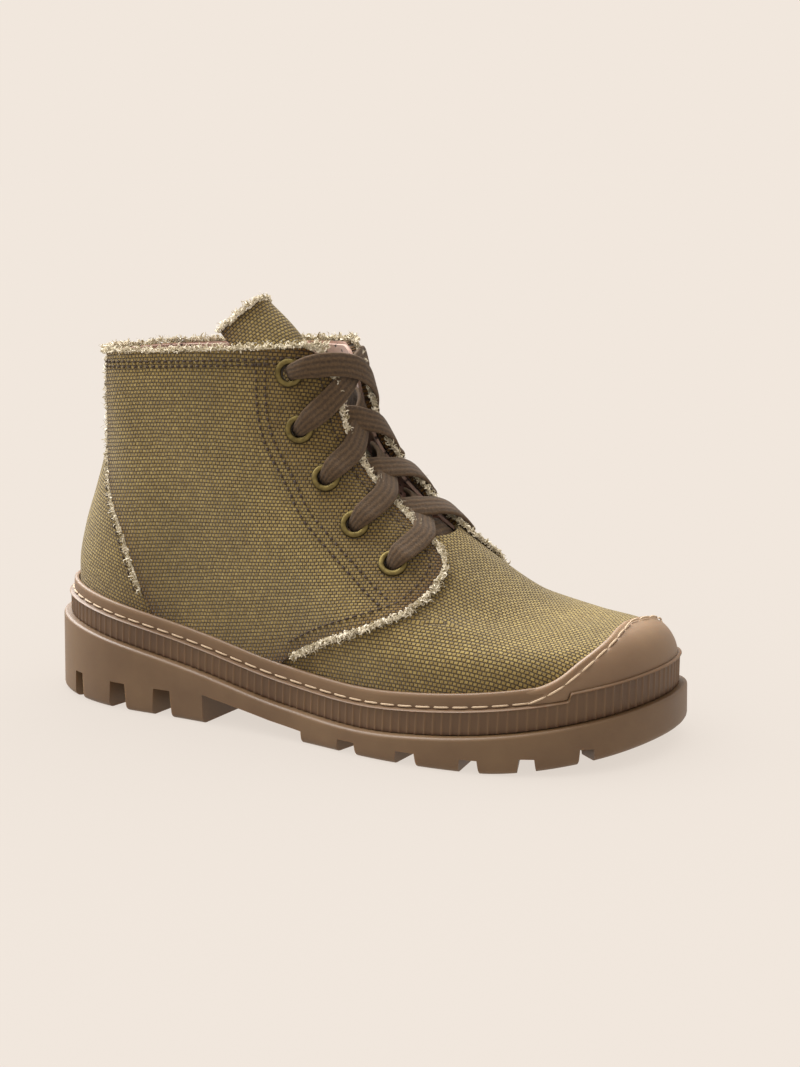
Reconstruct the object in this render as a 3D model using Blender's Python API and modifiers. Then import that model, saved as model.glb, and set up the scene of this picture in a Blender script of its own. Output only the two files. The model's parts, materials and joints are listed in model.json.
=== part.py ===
"""Child's canvas ankle boot, right foot, standing empty on its rubber lug sole.

Metres, +X to the toe, +Y to the inner (medial) side, +Z up. The origin is on the floor
under the middle of the sole. Every curved piece is worked out from one last: rings that
fan from the level feather edge at the sole to the collar, cut off at the throat.
"""

import bpy
import bmesh
import numpy as np
from math import pi, radians
from mathutils import Matrix, Vector

# Driving dimensions of the shoe
SOLE_LENGTH = 0.218
BALL_WIDTH = 0.0855
COLLAR_RISE = 0.1075
HEEL_HEIGHT = 0.027
GAP = 0.0003

# Rubber parts
LEDGE = 0.0027
RUBBER = 0.0023
LIP = 0.0015
RAND_STEP = 0.0004
CAP_THICKNESS = 0.0019
RIB_PITCH = 0.0035
RIB_HEIGHT = 0.0004
RIB_WIDTH = 0.0011
LEDGE_ROUND = 0.0011
SOLE_ROUND = 0.0020
HEEL_FLARE = 0.0010
TOE_SPRING = 0.0065
ARCH_HEIGHT = 0.0094
HEEL_NOTCH_HEIGHT = 0.0088
TREAD_NOTCH_HEIGHT = 0.0041
NOTCH_DEPTH = 0.016
NOTCH_TAPER = 0.82
TREAD_GROOVE = 0.0018
TREAD_GROOVE_WIDTH = 0.0045

# Cloth parts
CANVAS = 0.0020
QUARTER_STEP = 0.0011
QUARTER_GRIP = 0.0009
THROAT_GAP = 0.0200
THROAT_CUT = 0.05
THROAT_CUT_RISE = 0.02
TONGUE_THICKNESS = 0.0018
INSOLE_THICKNESS = 0.0030

# Eyelets and lace
EYELET_OUTER = 0.0088
EYELET_BORE = 0.0050
EYELET_BARREL = 0.0004
EYELET_FLANGE = 0.0007
EYELET_SPREAD = 0.0384
EYELET_ANGLE = 46.0
LACE_WIDTH = 0.0072
LACE_THICKNESS = 0.0016
LACE_CLEARANCE = 0.0014
LACE_START = 0.0030
LACE_REACH = 0.62
BAR_REACH = 0.90
BAR_DEPTH = 0.0010

# Place of the last's middle line, so that the box of the whole shoe is centred
MIDDLE_LINE = (0.00047, 0.00147, 0.0)

# Sizes that follow from the ones above
LAST_LENGTH = SOLE_LENGTH - 2 * (LEDGE + RUBBER + GAP)
LAST_HALF_WIDTH = BALL_WIDTH / 2 - (LEDGE + RUBBER + GAP)

# Side of the sole: share of the sole length from the heel, and the height of the
# ledge there as a share of the heel height.
SOLE_SIDE = (
    # station, ledge
    (0.000, 1.000),
    (0.165, 0.833),
    (0.330, 0.611),
    (0.480, 0.385),
    (0.615, 0.300),
    (0.740, 0.348),
    (0.880, 0.480),
    (1.000, 0.655),
)

# Rings of the last, from the feather edge to the collar. Front and back are shares of the
# last's length from the heel, their rises above the ledge shares of the collar's. Dip says
# how far the ring follows the sole's curve and swing how far it follows the foot's.
# The seven widths are shares of the last's half width, from the toe to the back.
RINGS = (
    # level, front, rise, back, rise, dip, swing, toe, ball, vamp, waist, shank, heel, back
    (0.00, 1.000, 0.000, 0.0000, 0.000, 1.00, 1.00, 0.640, 0.960, 0.970, 0.775, 0.735, 0.710, 0.430),
    (0.10, 0.999, 0.110, 0.0025, 0.106, 1.00, 1.00, 0.630, 0.950, 0.960, 0.765, 0.725, 0.700, 0.425),
    (0.18, 0.979, 0.168, 0.0065, 0.182, 0.80, 0.95, 0.550, 0.900, 0.950, 0.760, 0.720, 0.695, 0.425),
    (0.27, 0.929, 0.202, 0.0200, 0.277, 0.50, 0.90, 0.440, 0.785, 0.880, 0.750, 0.710, 0.680, 0.405),
    (0.40, 0.838, 0.261, 0.0440, 0.396, 0.25, 0.75, 0.385, 0.680, 0.760, 0.715, 0.685, 0.645, 0.385),
    (0.55, 0.721, 0.412, 0.0680, 0.531, 0.05, 0.50, 0.325, 0.550, 0.640, 0.670, 0.650, 0.600, 0.360),
    (0.70, 0.630, 0.551, 0.0770, 0.637, 0.00, 0.30, 0.300, 0.525, 0.600, 0.640, 0.625, 0.575, 0.345),
    (0.86, 0.543, 0.742, 0.0795, 0.747, 0.00, 0.10, 0.275, 0.480, 0.560, 0.605, 0.590, 0.545, 0.325),
    (1.00, 0.512, 0.995, 0.0805, 0.824, 0.00, 0.00, 0.215, 0.415, 0.520, 0.565, 0.560, 0.515, 0.315),
)

# Curve of the foot: how far the middle of the feather edge lies to the inner side, from
# the toe's tip to the back, as shares of the last's half width.
SWING = (0.090, 0.065, 0.000, -0.075, -0.105, -0.045, -0.005, 0.000, 0.000)

# Outline of the quarters from the side, as shares of the last's length from the heel and
# of the collar's rise above the ledge: down the throat, along the seam, up the rear edge.
QUARTER = (
    # along, up
    (0.685, 0.456),
    (0.698, 0.425),
    (0.705, 0.387),
    (0.693, 0.346),
    (0.680, 0.315),
    (0.640, 0.284),
    (0.593, 0.253),
    (0.546, 0.206),
    (0.497, 0.147),
    (0.440, -0.043),
    (0.262, -0.108),
    (0.230, 0.122),
    (0.208, 0.188),
    (0.189, 0.258),
    (0.168, 0.340),
    (0.142, 0.416),
    (0.119, 0.540),
    (0.112, 0.681),
    (0.118, 1.100),
    (0.900, 1.196),
)

# Edge of the toe cap from the side, in the same shares.
CAP_EDGE = (
    # along, up
    (0.870, 0.052),
    (0.893, 0.102),
    (0.906, 0.115),
    (0.920, 0.133),
    (0.938, 0.168),
    (0.948, 0.204),
    (0.947, 0.413),
)

# Throat opening: point on its middle line and half of its gap as a share of THROAT_GAP.
THROAT = (
    # along, up, half gap
    (0.676, 0.432, 0.54),
    (0.668, 0.456, 0.56),
    (0.635, 0.501, 0.52),
    (0.575, 0.591, 0.50),
    (0.530, 0.683, 0.50),
    (0.497, 0.808, 0.50),
    (0.480, 0.924, 0.45),
    (0.475, 0.951, 0.48),
    (0.470, 0.974, 0.62),
    (0.468, 0.998, 0.95),
)

# Tongue: middle line in the same shares, and as shares of the last's half width its own
# half width and how far its sides curl back.
TONGUE = (
    # along, up, width, curl
    (0.690, 0.399, 0.30, 0.15),
    (0.615, 0.513, 0.36, 0.20),
    (0.545, 0.640, 0.44, 0.25),
    (0.493, 0.768, 0.47, 0.29),
    (0.452, 0.899, 0.47, 0.32),
    (0.410, 0.996, 0.45, 0.34),
    (0.362, 1.071, 0.43, 0.36),
)

# Eyelet rows from the lowest up: level on the last and share of EYELET_SPREAD.
EYELET_ROWS = (
    # level, spread
    (0.509, 1.165),
    (0.621, 1.085),
    (0.756, 0.995),
    (0.864, 0.930),
    (0.960, 0.848),
)

# Notches in the side of the tread: share of the sole length, width.
HEEL_NOTCHES = ((0.187, 0.0078), (0.270, 0.0080))
BACK_NOTCH_ANGLE = 34.0
BACK_NOTCH_WIDTH = 0.0060
TREAD_NOTCHES = ((0.609, 0.0078), (0.706, 0.0075), (0.796, 0.0064), (0.872, 0.0054), (0.939, 0.0050))
TREAD_GROOVES = (0.565, 0.657, 0.751, 0.834, 0.906)
HEEL_GROOVES = (0.120, 0.229, 0.312)
HEEL_BREAST = 0.346
ARCH_END = 0.530
TREAD_FLAT_END = 0.812

# Mesh steps
RING_STEPS = 48
LEVELS = (0.0, 0.07, 0.10, 0.14, 0.18, 0.225, 0.27, 0.335, 0.40, 0.475, 0.55, 0.625, 0.70,
          0.78, 0.86, 0.93, 1.0)
LIP_LEVEL = 0.100
BAND_LEVEL = 0.058
TOE_BAND_LEVEL = 0.075
TOE_BAND_START = 0.937
LEVEL_GAP = 0.0045
CAP_TOP_LEVEL = 0.40
SOLE_STEPS = 64
EYELET_STEPS = 12
LACE_STEPS = 3
GAP_STEPS = 5
TONGUE_ROWS = 11
TONGUE_COLUMNS = 9


def smooth(knots, values, at):
    """Cubic curve through the values, with the slope at each from its two neighbours."""
    knots = np.asarray(knots, float)
    values = np.asarray(values, float)
    slopes = np.gradient(values, knots, axis=0)
    at = np.clip(at, knots[0], knots[-1])
    i = np.clip(np.searchsorted(knots, at, side="right") - 1, 0, len(knots) - 2)
    step = knots[i + 1] - knots[i]
    t = (at - knots[i]) / step
    if values.ndim > 1:
        t = t[..., None]
        step = step[..., None]
    a = values[i] * (2 * t**3 - 3 * t**2 + 1) + values[i + 1] * (3 * t**2 - 2 * t**3)
    b = slopes[i] * (t**3 - 2 * t**2 + t) + slopes[i + 1] * (t**3 - t**2)
    return a + b * step


def ledge_height(x):
    """Height of the sole's ledge at a place along the shoe."""
    side = np.array(SOLE_SIDE)
    return smooth(side[:, 0], side[:, 1] * HEEL_HEIGHT, np.asarray(x) / SOLE_LENGTH + 0.5)


def last_point(theta, level):
    """Point of the last: theta runs round the ring from the toe along the outer side."""
    theta, level = np.broadcast_arrays(np.asarray(theta, float), np.asarray(level, float))
    table = np.array(RINGS)
    row = smooth(table[:, 0], table[:, 1:], level)
    turn = (theta + pi) % (2 * pi) - pi
    around = np.abs(turn)
    share = (1 - np.cos(around)) / 2
    front = (row[..., 0] - 0.5) * LAST_LENGTH
    back = (row[..., 2] - 0.5) * LAST_LENGTH
    x = front + (back - front) * share
    rise = (row[..., 1] + (row[..., 3] - row[..., 1]) * share) * COLLAR_RISE
    line = ledge_height(front) + (ledge_height(back) - ledge_height(front)) * share
    z = GAP + rise + line + row[..., 4] * (ledge_height(x) - line)
    widths = row[..., 6:]
    closed = np.concatenate([-widths[..., :1], 0 * widths[..., :1], widths,
                             0 * widths[..., :1], -widths[..., -1:]], axis=-1)
    places = np.arange(-1, 10) * pi / 8
    half = ring_values(places, closed, around) * LAST_HALF_WIDTH
    bend = np.array((SWING[1],) + SWING + (SWING[-2],))
    middle = smooth(places, bend, around) * row[..., 5] * LAST_HALF_WIDTH
    return np.stack([x, middle - np.sign(turn) * half, z], axis=-1)


def ring_values(places, columns, at):
    """The smooth curve through a table whose columns differ from point to point."""
    i = np.clip(np.searchsorted(places, at, side="right") - 1, 1, len(places) - 3)
    step = places[1] - places[0]
    t = (at - places[i]) / step

    def column(j):
        return np.take_along_axis(columns, j[..., None], axis=-1)[..., 0]

    before, start, end, after = column(i - 1), column(i), column(i + 1), column(i + 2)
    slope_a = (end - before) / 2
    slope_b = (after - start) / 2
    return (start * (2 * t**3 - 3 * t**2 + 1) + end * (3 * t**2 - 2 * t**3)
            + slope_a * (t**3 - 2 * t**2 + t) + slope_b * (t**3 - t**2))


def surface(theta, level, lift=0.0):
    """Point that stands off the last by lift, along the last's normal."""
    d = 1e-4
    level = np.asarray(level, float)
    low = np.clip(level - d, 0, 1)
    high = np.clip(level + d, 0, 1)
    along = last_point(np.asarray(theta) + d, level) - last_point(np.asarray(theta) - d, level)
    up = last_point(theta, high) - last_point(theta, low)
    normal = np.cross(up, along)
    normal /= np.linalg.norm(normal, axis=-1, keepdims=True)
    return last_point(theta, level) + lift * normal


def ring_angles(count):
    """Angles round a ring, from the toe along the outer side and back."""
    return np.arange(count) * 2 * pi / count


def flat_loop(theta, offset):
    """The feather edge seen from above, moved outwards by offset."""
    d = 1e-4
    p = last_point(theta, 0.0)
    along = last_point(theta + d, 0.0) - last_point(theta - d, 0.0)
    out = np.stack([-along[:, 1], along[:, 0]], axis=-1)
    out /= np.linalg.norm(out, axis=-1, keepdims=True)
    return p[:, :2] + out * np.reshape(offset, (-1, 1))


def on_ledge(theta, offset, rise):
    """Loop round the feather edge, moved outwards by offset, at a rise over the ledge."""
    flat = flat_loop(theta, offset)
    return np.column_stack([flat, ledge_height(flat[:, 0]) + rise])


def material(name, colour, roughness, metallic=0.0):
    """Principled material with one colour."""
    mat = bpy.data.materials.new(name)
    mat.use_nodes = True
    shader = mat.node_tree.nodes["Principled BSDF"]
    shader.inputs["Base Color"].default_value = (*colour, 1.0)
    shader.inputs["Roughness"].default_value = roughness
    shader.inputs["Metallic"].default_value = metallic
    mat.diffuse_color = (*colour, 1.0)
    return mat


def add_object(name, mesh, collection, mat=None):
    """Object in a collection, shaded smooth up to 35 degrees if it has a material."""
    obj = bpy.data.objects.new(name, mesh)
    collection.objects.link(obj)
    if mat:
        mesh.materials.append(mat)
        mesh.shade_smooth()
        mesh.set_sharp_from_angle(angle=radians(35))
    else:
        obj.hide_render = True
        obj.display_type = "WIRE"
    return obj


def new_mesh(name, points, faces):
    """Mesh from rows of points and faces."""
    mesh = bpy.data.meshes.new(name)
    mesh.from_pydata([tuple(p) for p in points], [], [tuple(int(i) for i in f) for f in faces])
    mesh.validate()
    return mesh


def outward(mesh):
    """Turn the faces of a closed mesh outwards."""
    bm = bmesh.new()
    bm.from_mesh(mesh)
    bmesh.ops.recalc_face_normals(bm, faces=bm.faces)
    bm.to_mesh(mesh)
    bm.free()
    return mesh


def open_grid(name, theta, levels, lift, closed):
    """Open sheet on the last, rings joined level by level."""
    levels = np.asarray(levels)
    if levels.ndim == 1:
        levels = np.repeat(levels[:, None], len(theta), axis=1)
    points = surface(np.broadcast_to(theta, levels.shape), levels, lift).reshape(-1, 3)
    count = len(theta)
    faces = []
    for row in range(len(levels) - 1):
        for col in range(count if closed else count - 1):
            after = (col + 1) % count
            low = row * count
            high = low + count
            faces.append((low + after, low + col, high + col, high + after))
    return new_mesh(name, points, faces)


def loft(name, loops, caps):
    """Closed solid through loops of as many points, its ends laddered across or joined."""
    count = len(loops[0])
    points = np.concatenate(loops)
    faces = []
    last = len(loops) if not caps else len(loops) - 1
    for row in range(last):
        low = row * count
        high = ((row + 1) % len(loops)) * count
        for col in range(count):
            after = (col + 1) % count
            faces.append((low + col, low + after, high + after, high + col))
    if caps:
        for start in (0, (len(loops) - 1) * count):
            faces += ladder(start, count)
    return outward(new_mesh(name, points, faces))


def ladder(start, count):
    """Faces across a loop, from each point to the one over against it."""
    faces = [(start, start + 1, start + count - 1)]
    for i in range(1, count // 2 - 1):
        faces.append((start + i, start + i + 1, start + count - i - 1, start + count - i))
    middle = start + count // 2
    faces.append((middle - 1, middle, middle + 1))
    return faces


def stitch_loops(low, high, low_at, high_at):
    """Triangles between two closed loops of unlike counts, walked by their angles."""
    faces = []
    i = j = 0
    low_angle = np.append(low_at, low_at[0] + 2 * pi)
    high_angle = np.append(high_at, high_at[0] + 2 * pi)
    while i < len(low) or j < len(high):
        if j == len(high) or (i < len(low) and low_angle[i + 1] <= high_angle[j + 1]):
            faces.append((low[i], low[(i + 1) % len(low)], high[j % len(high)]))
            i += 1
        else:
            faces.append((low[i % len(low)], high[(j + 1) % len(high)], high[j]))
            j += 1
    return faces


def prism(name, outline, low, high, collection):
    """Cutter of a side outline, carried across the shoe from low to high."""
    count = len(outline)
    points = [(x, y, z) for y in (low, high) for x, z in outline]
    faces = [tuple(range(count)), tuple(range(2 * count - 1, count - 1, -1))]
    for i in range(count):
        after = (i + 1) % count
        faces.append((i, count + i, count + after, after))
    return add_object(name, outward(new_mesh(name, points, faces)), collection)


def boolean(obj, cutter, operation):
    """Exact Boolean that stays on the object."""
    mod = obj.modifiers.new(cutter.name, "BOOLEAN")
    mod.object = cutter
    mod.operation = operation
    mod.solver = "EXACT"
    return mod


def solidify(obj, thickness):
    """Wall that grows inwards from the sheet."""
    mod = obj.modifiers.new("wall", "SOLIDIFY")
    mod.thickness = thickness
    mod.offset = -1.0
    return mod


def side_point(along, up):
    """Place in the side view from shares of the last's length and the collar's rise."""
    x = (along - 0.5) * LAST_LENGTH
    return (x, float(ledge_height(x)) + up * COLLAR_RISE)


def tapered_block(centre, inward, width, depth, height, taper):
    """Corners and faces of a notch: narrower at its top, deep along inward."""
    inward = np.array((inward[0], inward[1], 0.0))
    across = np.array((-inward[1], inward[0], 0.0))
    points = []
    for z, half in ((-height, width / 2 * (2 - taper)), (height, width / 2 * taper)):
        for u, w in ((-depth, -half), (depth, -half), (depth, half), (-depth, half)):
            points.append(np.array(centre) + inward * u + across * w + np.array((0, 0, z)))
    faces = [(0, 1, 2, 3), (7, 6, 5, 4), (0, 4, 5, 1), (1, 5, 6, 2), (2, 6, 7, 3), (3, 7, 4, 0)]
    return points, faces


def joined_blocks(name, blocks, collection):
    """One cutter that holds several blocks which don't touch."""
    points, faces = [], []
    for block_points, block_faces in blocks:
        start = len(points)
        points += block_points
        faces += [tuple(start + i for i in f) for f in block_faces]
    return add_object(name, outward(new_mesh(name, points, faces)), collection)


def sole_bottom(x):
    """Height of the tread's bottom before the arch and the notches are cut."""
    start = (TREAD_FLAT_END - 0.5) * SOLE_LENGTH
    rise = np.clip((np.asarray(x) - start) / (SOLE_LENGTH / 2 - start), 0, 1)
    return TOE_SPRING * rise**1.5


def heel_flare(theta):
    """How far the heel's foot stands out past the ledge, none from the breast on."""
    breast = (HEEL_BREAST - 0.5) * SOLE_LENGTH
    x = last_point(theta, 0.0)[..., 0]
    return HEEL_FLARE * np.clip((breast - x) / (breast + SOLE_LENGTH / 2), 0, 1)


def build_outsole(parts, cutters, rubber):
    """Outsole: ledge, heel, arch, toe spring and side lugs."""
    theta = ring_angles(SOLE_STEPS)
    wall = LEDGE + RUBBER + GAP
    loops = []
    for inset, rise in ((SOLE_ROUND, 0.0), (0.0, SOLE_ROUND)):
        flat = flat_loop(theta, wall - inset + heel_flare(theta))
        loops.append(np.column_stack([flat, sole_bottom(flat[:, 0]) + rise]))
    loops.append(on_ledge(theta, wall, -LEDGE_ROUND))
    loops.append(on_ledge(theta, wall - LEDGE_ROUND, 0.0))
    obj = add_object("outsole", loft("outsole", loops, caps=True), parts, rubber)

    breast = (HEEL_BREAST - 0.5) * SOLE_LENGTH
    end = (ARCH_END - 0.5) * SOLE_LENGTH
    third = (end - breast) / 3
    arch = [(breast, -0.01), (breast, ARCH_HEIGHT), (breast + third, ARCH_HEIGHT * 0.78),
            (breast + 2 * third, ARCH_HEIGHT * 0.55), (end - 0.001, ARCH_HEIGHT * 0.40), (end, -0.01)]
    boolean(obj, prism("arch_cutter", arch, -BALL_WIDTH, BALL_WIDTH, cutters), "DIFFERENCE")

    blocks = []
    for station, width in HEEL_NOTCHES:
        blocks += side_blocks(station, width, HEEL_NOTCH_HEIGHT)
    for station, width in TREAD_NOTCHES:
        blocks += side_blocks(station, width, TREAD_NOTCH_HEIGHT)
    for side in (-1, 1):
        theta_back = pi + side * radians(BACK_NOTCH_ANGLE)
        blocks.append(notch_at(theta_back, BACK_NOTCH_WIDTH, HEEL_NOTCH_HEIGHT))
    boolean(obj, joined_blocks("notch_cutter", blocks, cutters), "DIFFERENCE")

    blocks = []
    for station in HEEL_GROOVES + TREAD_GROOVES:
        x = (station - 0.5) * SOLE_LENGTH
        centre = (x, 0.0, float(sole_bottom(x)))
        reach = BALL_WIDTH / 2 - NOTCH_DEPTH - 2 * SOLE_ROUND
        reach *= 0.8 if station < HEEL_BREAST or station > TREAD_FLAT_END else 1.0
        blocks.append(tapered_block(centre, (0, 1), TREAD_GROOVE_WIDTH, reach, TREAD_GROOVE, NOTCH_TAPER))
    boolean(obj, joined_blocks("groove_cutter", blocks, cutters), "DIFFERENCE")
    return obj


def notch_at(theta, width, height):
    """Notch across the sole's edge at an angle round the feather edge."""
    inner = flat_loop(np.array([theta]), 0.0)[0]
    outer = flat_loop(np.array([theta]), LEDGE + RUBBER + GAP)[0]
    inward = (inner - outer) / np.linalg.norm(inner - outer)
    centre = (outer[0], outer[1], float(sole_bottom(outer[0])))
    return tapered_block(centre, inward, width, NOTCH_DEPTH, height, NOTCH_TAPER)


def side_blocks(station, width, height):
    """The pair of notches, one on each side, at a share of the sole's length."""
    x = (station - 0.5) * SOLE_LENGTH
    fine = np.linspace(0.02, pi - 0.02, 400)
    blocks = []
    for side in (1, -1):
        edge = flat_loop(side * fine, LEDGE + RUBBER + GAP)
        nearest = np.abs(edge[:, 0] - x).argmin()
        blocks.append(notch_at(side * fine[nearest], width, height))
    return blocks


def rib_angles():
    """Angles of the ribs' foot, crest and foot, at an even pitch round the band."""
    fine = np.linspace(0, 2 * pi, 4001)
    edge = flat_loop(fine, RUBBER + GAP)
    length = np.concatenate([[0], np.cumsum(np.linalg.norm(np.diff(edge, axis=0), axis=1))])
    ribs = round(length[-1] / RIB_PITCH)
    centres = (np.arange(ribs) + 0.5) * length[-1] / ribs
    places = (centres[:, None] + np.array((-RIB_WIDTH / 2, 0, RIB_WIDTH / 2))).ravel()
    raised = np.tile((0.0, RIB_HEIGHT, 0.0), ribs)
    return np.interp(places, length, fine), raised


def at_toe(theta):
    """Where round the foot the band is taller and the toe cap stands on it."""
    return last_point(theta, 0.0)[..., 0] > side_point(TOE_BAND_START, 0)[0]


def band_level(theta):
    """Level of the ribbed band's top: it steps up round the toe."""
    return np.where(at_toe(theta), TOE_BAND_LEVEL, BAND_LEVEL)


def lip_level(theta):
    """Level of the sidewall's upper edge: round the toe the cap takes its place."""
    return np.where(at_toe(theta), TOE_BAND_LEVEL, LIP_LEVEL)


def build_sidewall(parts, rubber):
    """Sidewall: ribbed band with a smooth lip, round the whole foot."""
    coarse = ring_angles(RING_STEPS)
    fine, raised = rib_angles()
    face = GAP + RUBBER
    lip = lip_level(coarse)
    rings = [(coarse, on_ledge(coarse, GAP, GAP))]
    for level in (TOE_BAND_LEVEL - LEVEL_GAP, lip):
        rings.append((coarse, surface(coarse, level, GAP)))
    rings.append((coarse, surface(coarse, lip, GAP + LIP)))
    rings.append((coarse, surface(coarse, band_level(coarse), face - RAND_STEP)))
    crest = np.array([surface(a, b, face + r) for a, b, r in zip(fine, band_level(fine), raised)])
    foot = on_ledge(fine, face + raised, GAP)
    rings.append((fine, crest))
    rings.append((fine, foot))

    starts = np.cumsum([0] + [len(r[1]) for r in rings])
    index = [np.arange(starts[k], starts[k + 1]) for k in range(len(rings))]
    faces = []
    for k in range(len(rings)):
        after = (k + 1) % len(rings)
        faces += stitch_loops(index[k], index[after], rings[k][0], rings[after][0])
    mesh = new_mesh("sidewall", np.concatenate([r[1] for r in rings]), faces)
    return add_object("sidewall", outward(mesh), parts, rubber)


def build_toe_cap(parts, cutters, rubber):
    """Toe cap: rubber shell that lies on the canvas above the band."""
    levels = [v for v in LEVELS if LIP_LEVEL <= v <= CAP_TOP_LEVEL]
    theta = ring_angles(RING_STEPS)
    reach = RING_STEPS // 6
    theta = np.concatenate([theta[-reach:] - 2 * pi, theta[:reach + 1]])
    foot = lip_level(theta) + LEVEL_GAP
    rows = np.vstack([foot] + [np.maximum(v, foot + LEVEL_GAP) for v in levels])
    mesh = open_grid("toe_cap", theta, rows, GAP + CAP_THICKNESS, closed=False)
    obj = add_object("toe_cap", mesh, parts, rubber)
    solidify(obj, CAP_THICKNESS)
    outline = [side_point(a, u) for a, u in CAP_EDGE]
    front = SOLE_LENGTH
    outline += [(front, outline[-1][1]), (front, outline[0][1])]
    boolean(obj, prism("cap_cutter", outline, -BALL_WIDTH, BALL_WIDTH, cutters), "INTERSECT")
    return obj


def throat_cutter(cutters):
    """Cutter that opens the throat, from its foot to above the collar."""
    points, faces = [], []
    for along, up, half in THROAT:
        x, z = side_point(along, up)
        gap = half * THROAT_GAP
        front, rise = x + THROAT_CUT, z + THROAT_CUT_RISE
        points += [(x, gap, z), (front, gap, rise), (front, -gap, rise), (x, -gap, z)]
    for row in range(len(THROAT) - 1):
        for col in range(4):
            after = (col + 1) % 4
            low = row * 4
            faces.append((low + col, low + after, low + 4 + after, low + 4 + col))
    top = (len(THROAT) - 1) * 4
    faces += [(3, 2, 1, 0), (top, top + 1, top + 2, top + 3)]
    return add_object("throat_cutter", outward(new_mesh("throat_cutter", points, faces)), cutters)


def eyelet_places():
    """Angle and level of each eyelet, with its side, lowest row first."""
    places = []
    fine = np.linspace(0.02, 1.3 * radians(EYELET_ANGLE), 600)
    for number, (level, spread) in enumerate(EYELET_ROWS, 1):
        for side, name in ((1, "outer"), (-1, "inner")):
            ring = last_point(side * fine, level)
            nearest = np.abs(np.abs(ring[:, 1]) - EYELET_SPREAD * spread / 2).argmin()
            places.append((f"{name}_{number}", side * fine[nearest], level))
    return places


def turn_to_surface(theta, level, lift):
    """Matrix that puts a piece's +Z on the last's normal, at lift from the last."""
    base = surface(theta, level, 0.0)
    tip = surface(theta, level, 0.01)
    normal = Vector(tip - base).normalized()
    place = Vector(surface(theta, level, lift))
    return Matrix.Translation(place) @ normal.to_track_quat("Z", "Y").to_matrix().to_4x4()


def build_upper(parts, cutters, canvas):
    """Upper: one hollow canvas shell whose quarters stand proud as a step in its wall."""
    theta = ring_angles(RING_STEPS)
    obj = add_object("upper", open_grid("upper", theta, LEVELS, 0.0, closed=True), parts, canvas)
    solidify(obj, CANVAS)

    foot = LIP_LEVEL + LEVEL_GAP
    levels = [foot] + [v for v in LEVELS if v > foot]
    mesh = open_grid("quarter_form", theta, levels, QUARTER_STEP, closed=True)
    quarter = add_object("quarter_form", mesh, cutters)
    solidify(quarter, QUARTER_STEP + QUARTER_GRIP)
    outline = [side_point(a, u) for a, u in QUARTER]
    boolean(quarter, prism("quarter_cutter", outline, -BALL_WIDTH, BALL_WIDTH, cutters), "INTERSECT")
    boolean(obj, quarter, "UNION")
    boolean(obj, throat_cutter(cutters), "DIFFERENCE")

    bm = bmesh.new()
    for _, angle, level in eyelet_places():
        bmesh.ops.create_cone(bm, cap_ends=True, segments=EYELET_STEPS, depth=0.012,
                              radius1=EYELET_BORE / 2 + EYELET_BARREL + GAP,
                              radius2=EYELET_BORE / 2 + EYELET_BARREL + GAP,
                              matrix=turn_to_surface(angle, level, 0.0))
    mesh = bpy.data.meshes.new("eyelet_cutter")
    bm.to_mesh(mesh)
    bm.free()
    boolean(obj, add_object("eyelet_cutter", mesh, cutters), "DIFFERENCE")
    return obj


def build_eyelets(parts, brass):
    """Ten brass eyelets: a flange on the canvas and a barrel through it."""
    bore = EYELET_BORE / 2
    barrel = bore + EYELET_BARREL
    flange = EYELET_OUTER / 2
    seat = QUARTER_STEP + GAP
    top = seat + EYELET_FLANGE
    foot = -CANVAS
    profile = ((bore, top), (flange - EYELET_FLANGE / 2, top), (flange, seat), (barrel, seat),
               (barrel, foot), (bore, foot))
    mesh = bpy.data.meshes.new("eyelet")
    bm = bmesh.new()
    rings = []
    for step in range(EYELET_STEPS):
        turn = Matrix.Rotation(2 * pi * (step + 0.5) / EYELET_STEPS, 3, "Z")
        rings.append([bm.verts.new(turn @ Vector((r, 0.0, z))) for r, z in profile])
    for step in range(EYELET_STEPS):
        here, after = rings[step], rings[(step + 1) % EYELET_STEPS]
        for k in range(len(profile)):
            nxt = (k + 1) % len(profile)
            bm.faces.new((here[k], after[k], after[nxt], here[nxt]))
    bmesh.ops.recalc_face_normals(bm, faces=bm.faces)
    bm.to_mesh(mesh)
    bm.free()
    for name, angle, level in eyelet_places():
        obj = add_object("eyelet_" + name, mesh.copy(), parts, brass)
        obj.matrix_world = turn_to_surface(angle, level, 0.0)


def build_insole(parts, cloth):
    """Insole: flat board and sock that lies on the outsole inside the canvas."""
    theta = ring_angles(RING_STEPS)
    inside = -(CANVAS + 2 * GAP)
    loops = [on_ledge(theta, inside, GAP), on_ledge(theta, inside - GAP, GAP + INSOLE_THICKNESS)]
    return add_object("insole", loft("insole", loops, caps=True), parts, cloth)


def build_tongue(parts, canvas):
    """Tongue: canvas sheet curled round the instep, its tip leaning out of the collar."""
    rows = np.array(TONGUE)
    rows = smooth(np.linspace(0, 1, len(rows)), rows, np.linspace(0, 1, TONGUE_ROWS))
    middle = np.array([side_point(along, up) for along, up in rows[:, :2]])
    along = np.gradient(middle, axis=0)
    along /= np.linalg.norm(along, axis=1)[:, None]
    out = np.column_stack([along[:, 1], -along[:, 0]])
    across = np.linspace(-1, 1, TONGUE_COLUMNS)
    points = []
    for (x, z), (nx, nz), row in zip(middle, out, rows):
        half = row[2] * LAST_HALF_WIDTH
        curl = row[3] * LAST_HALF_WIDTH
        for q in across:
            fall = curl * abs(q)**2.2
            points.append((x - nx * fall, half * q, z - nz * fall))
    count = len(across)
    faces = []
    for row in range(len(rows) - 1):
        for col in range(count - 1):
            low = row * count + col
            faces.append((low, low + 1, low + count + 1, low + count))
    obj = add_object("tongue", new_mesh("tongue", points, faces), parts, canvas)
    solidify(obj, TONGUE_THICKNESS)
    return obj


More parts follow.
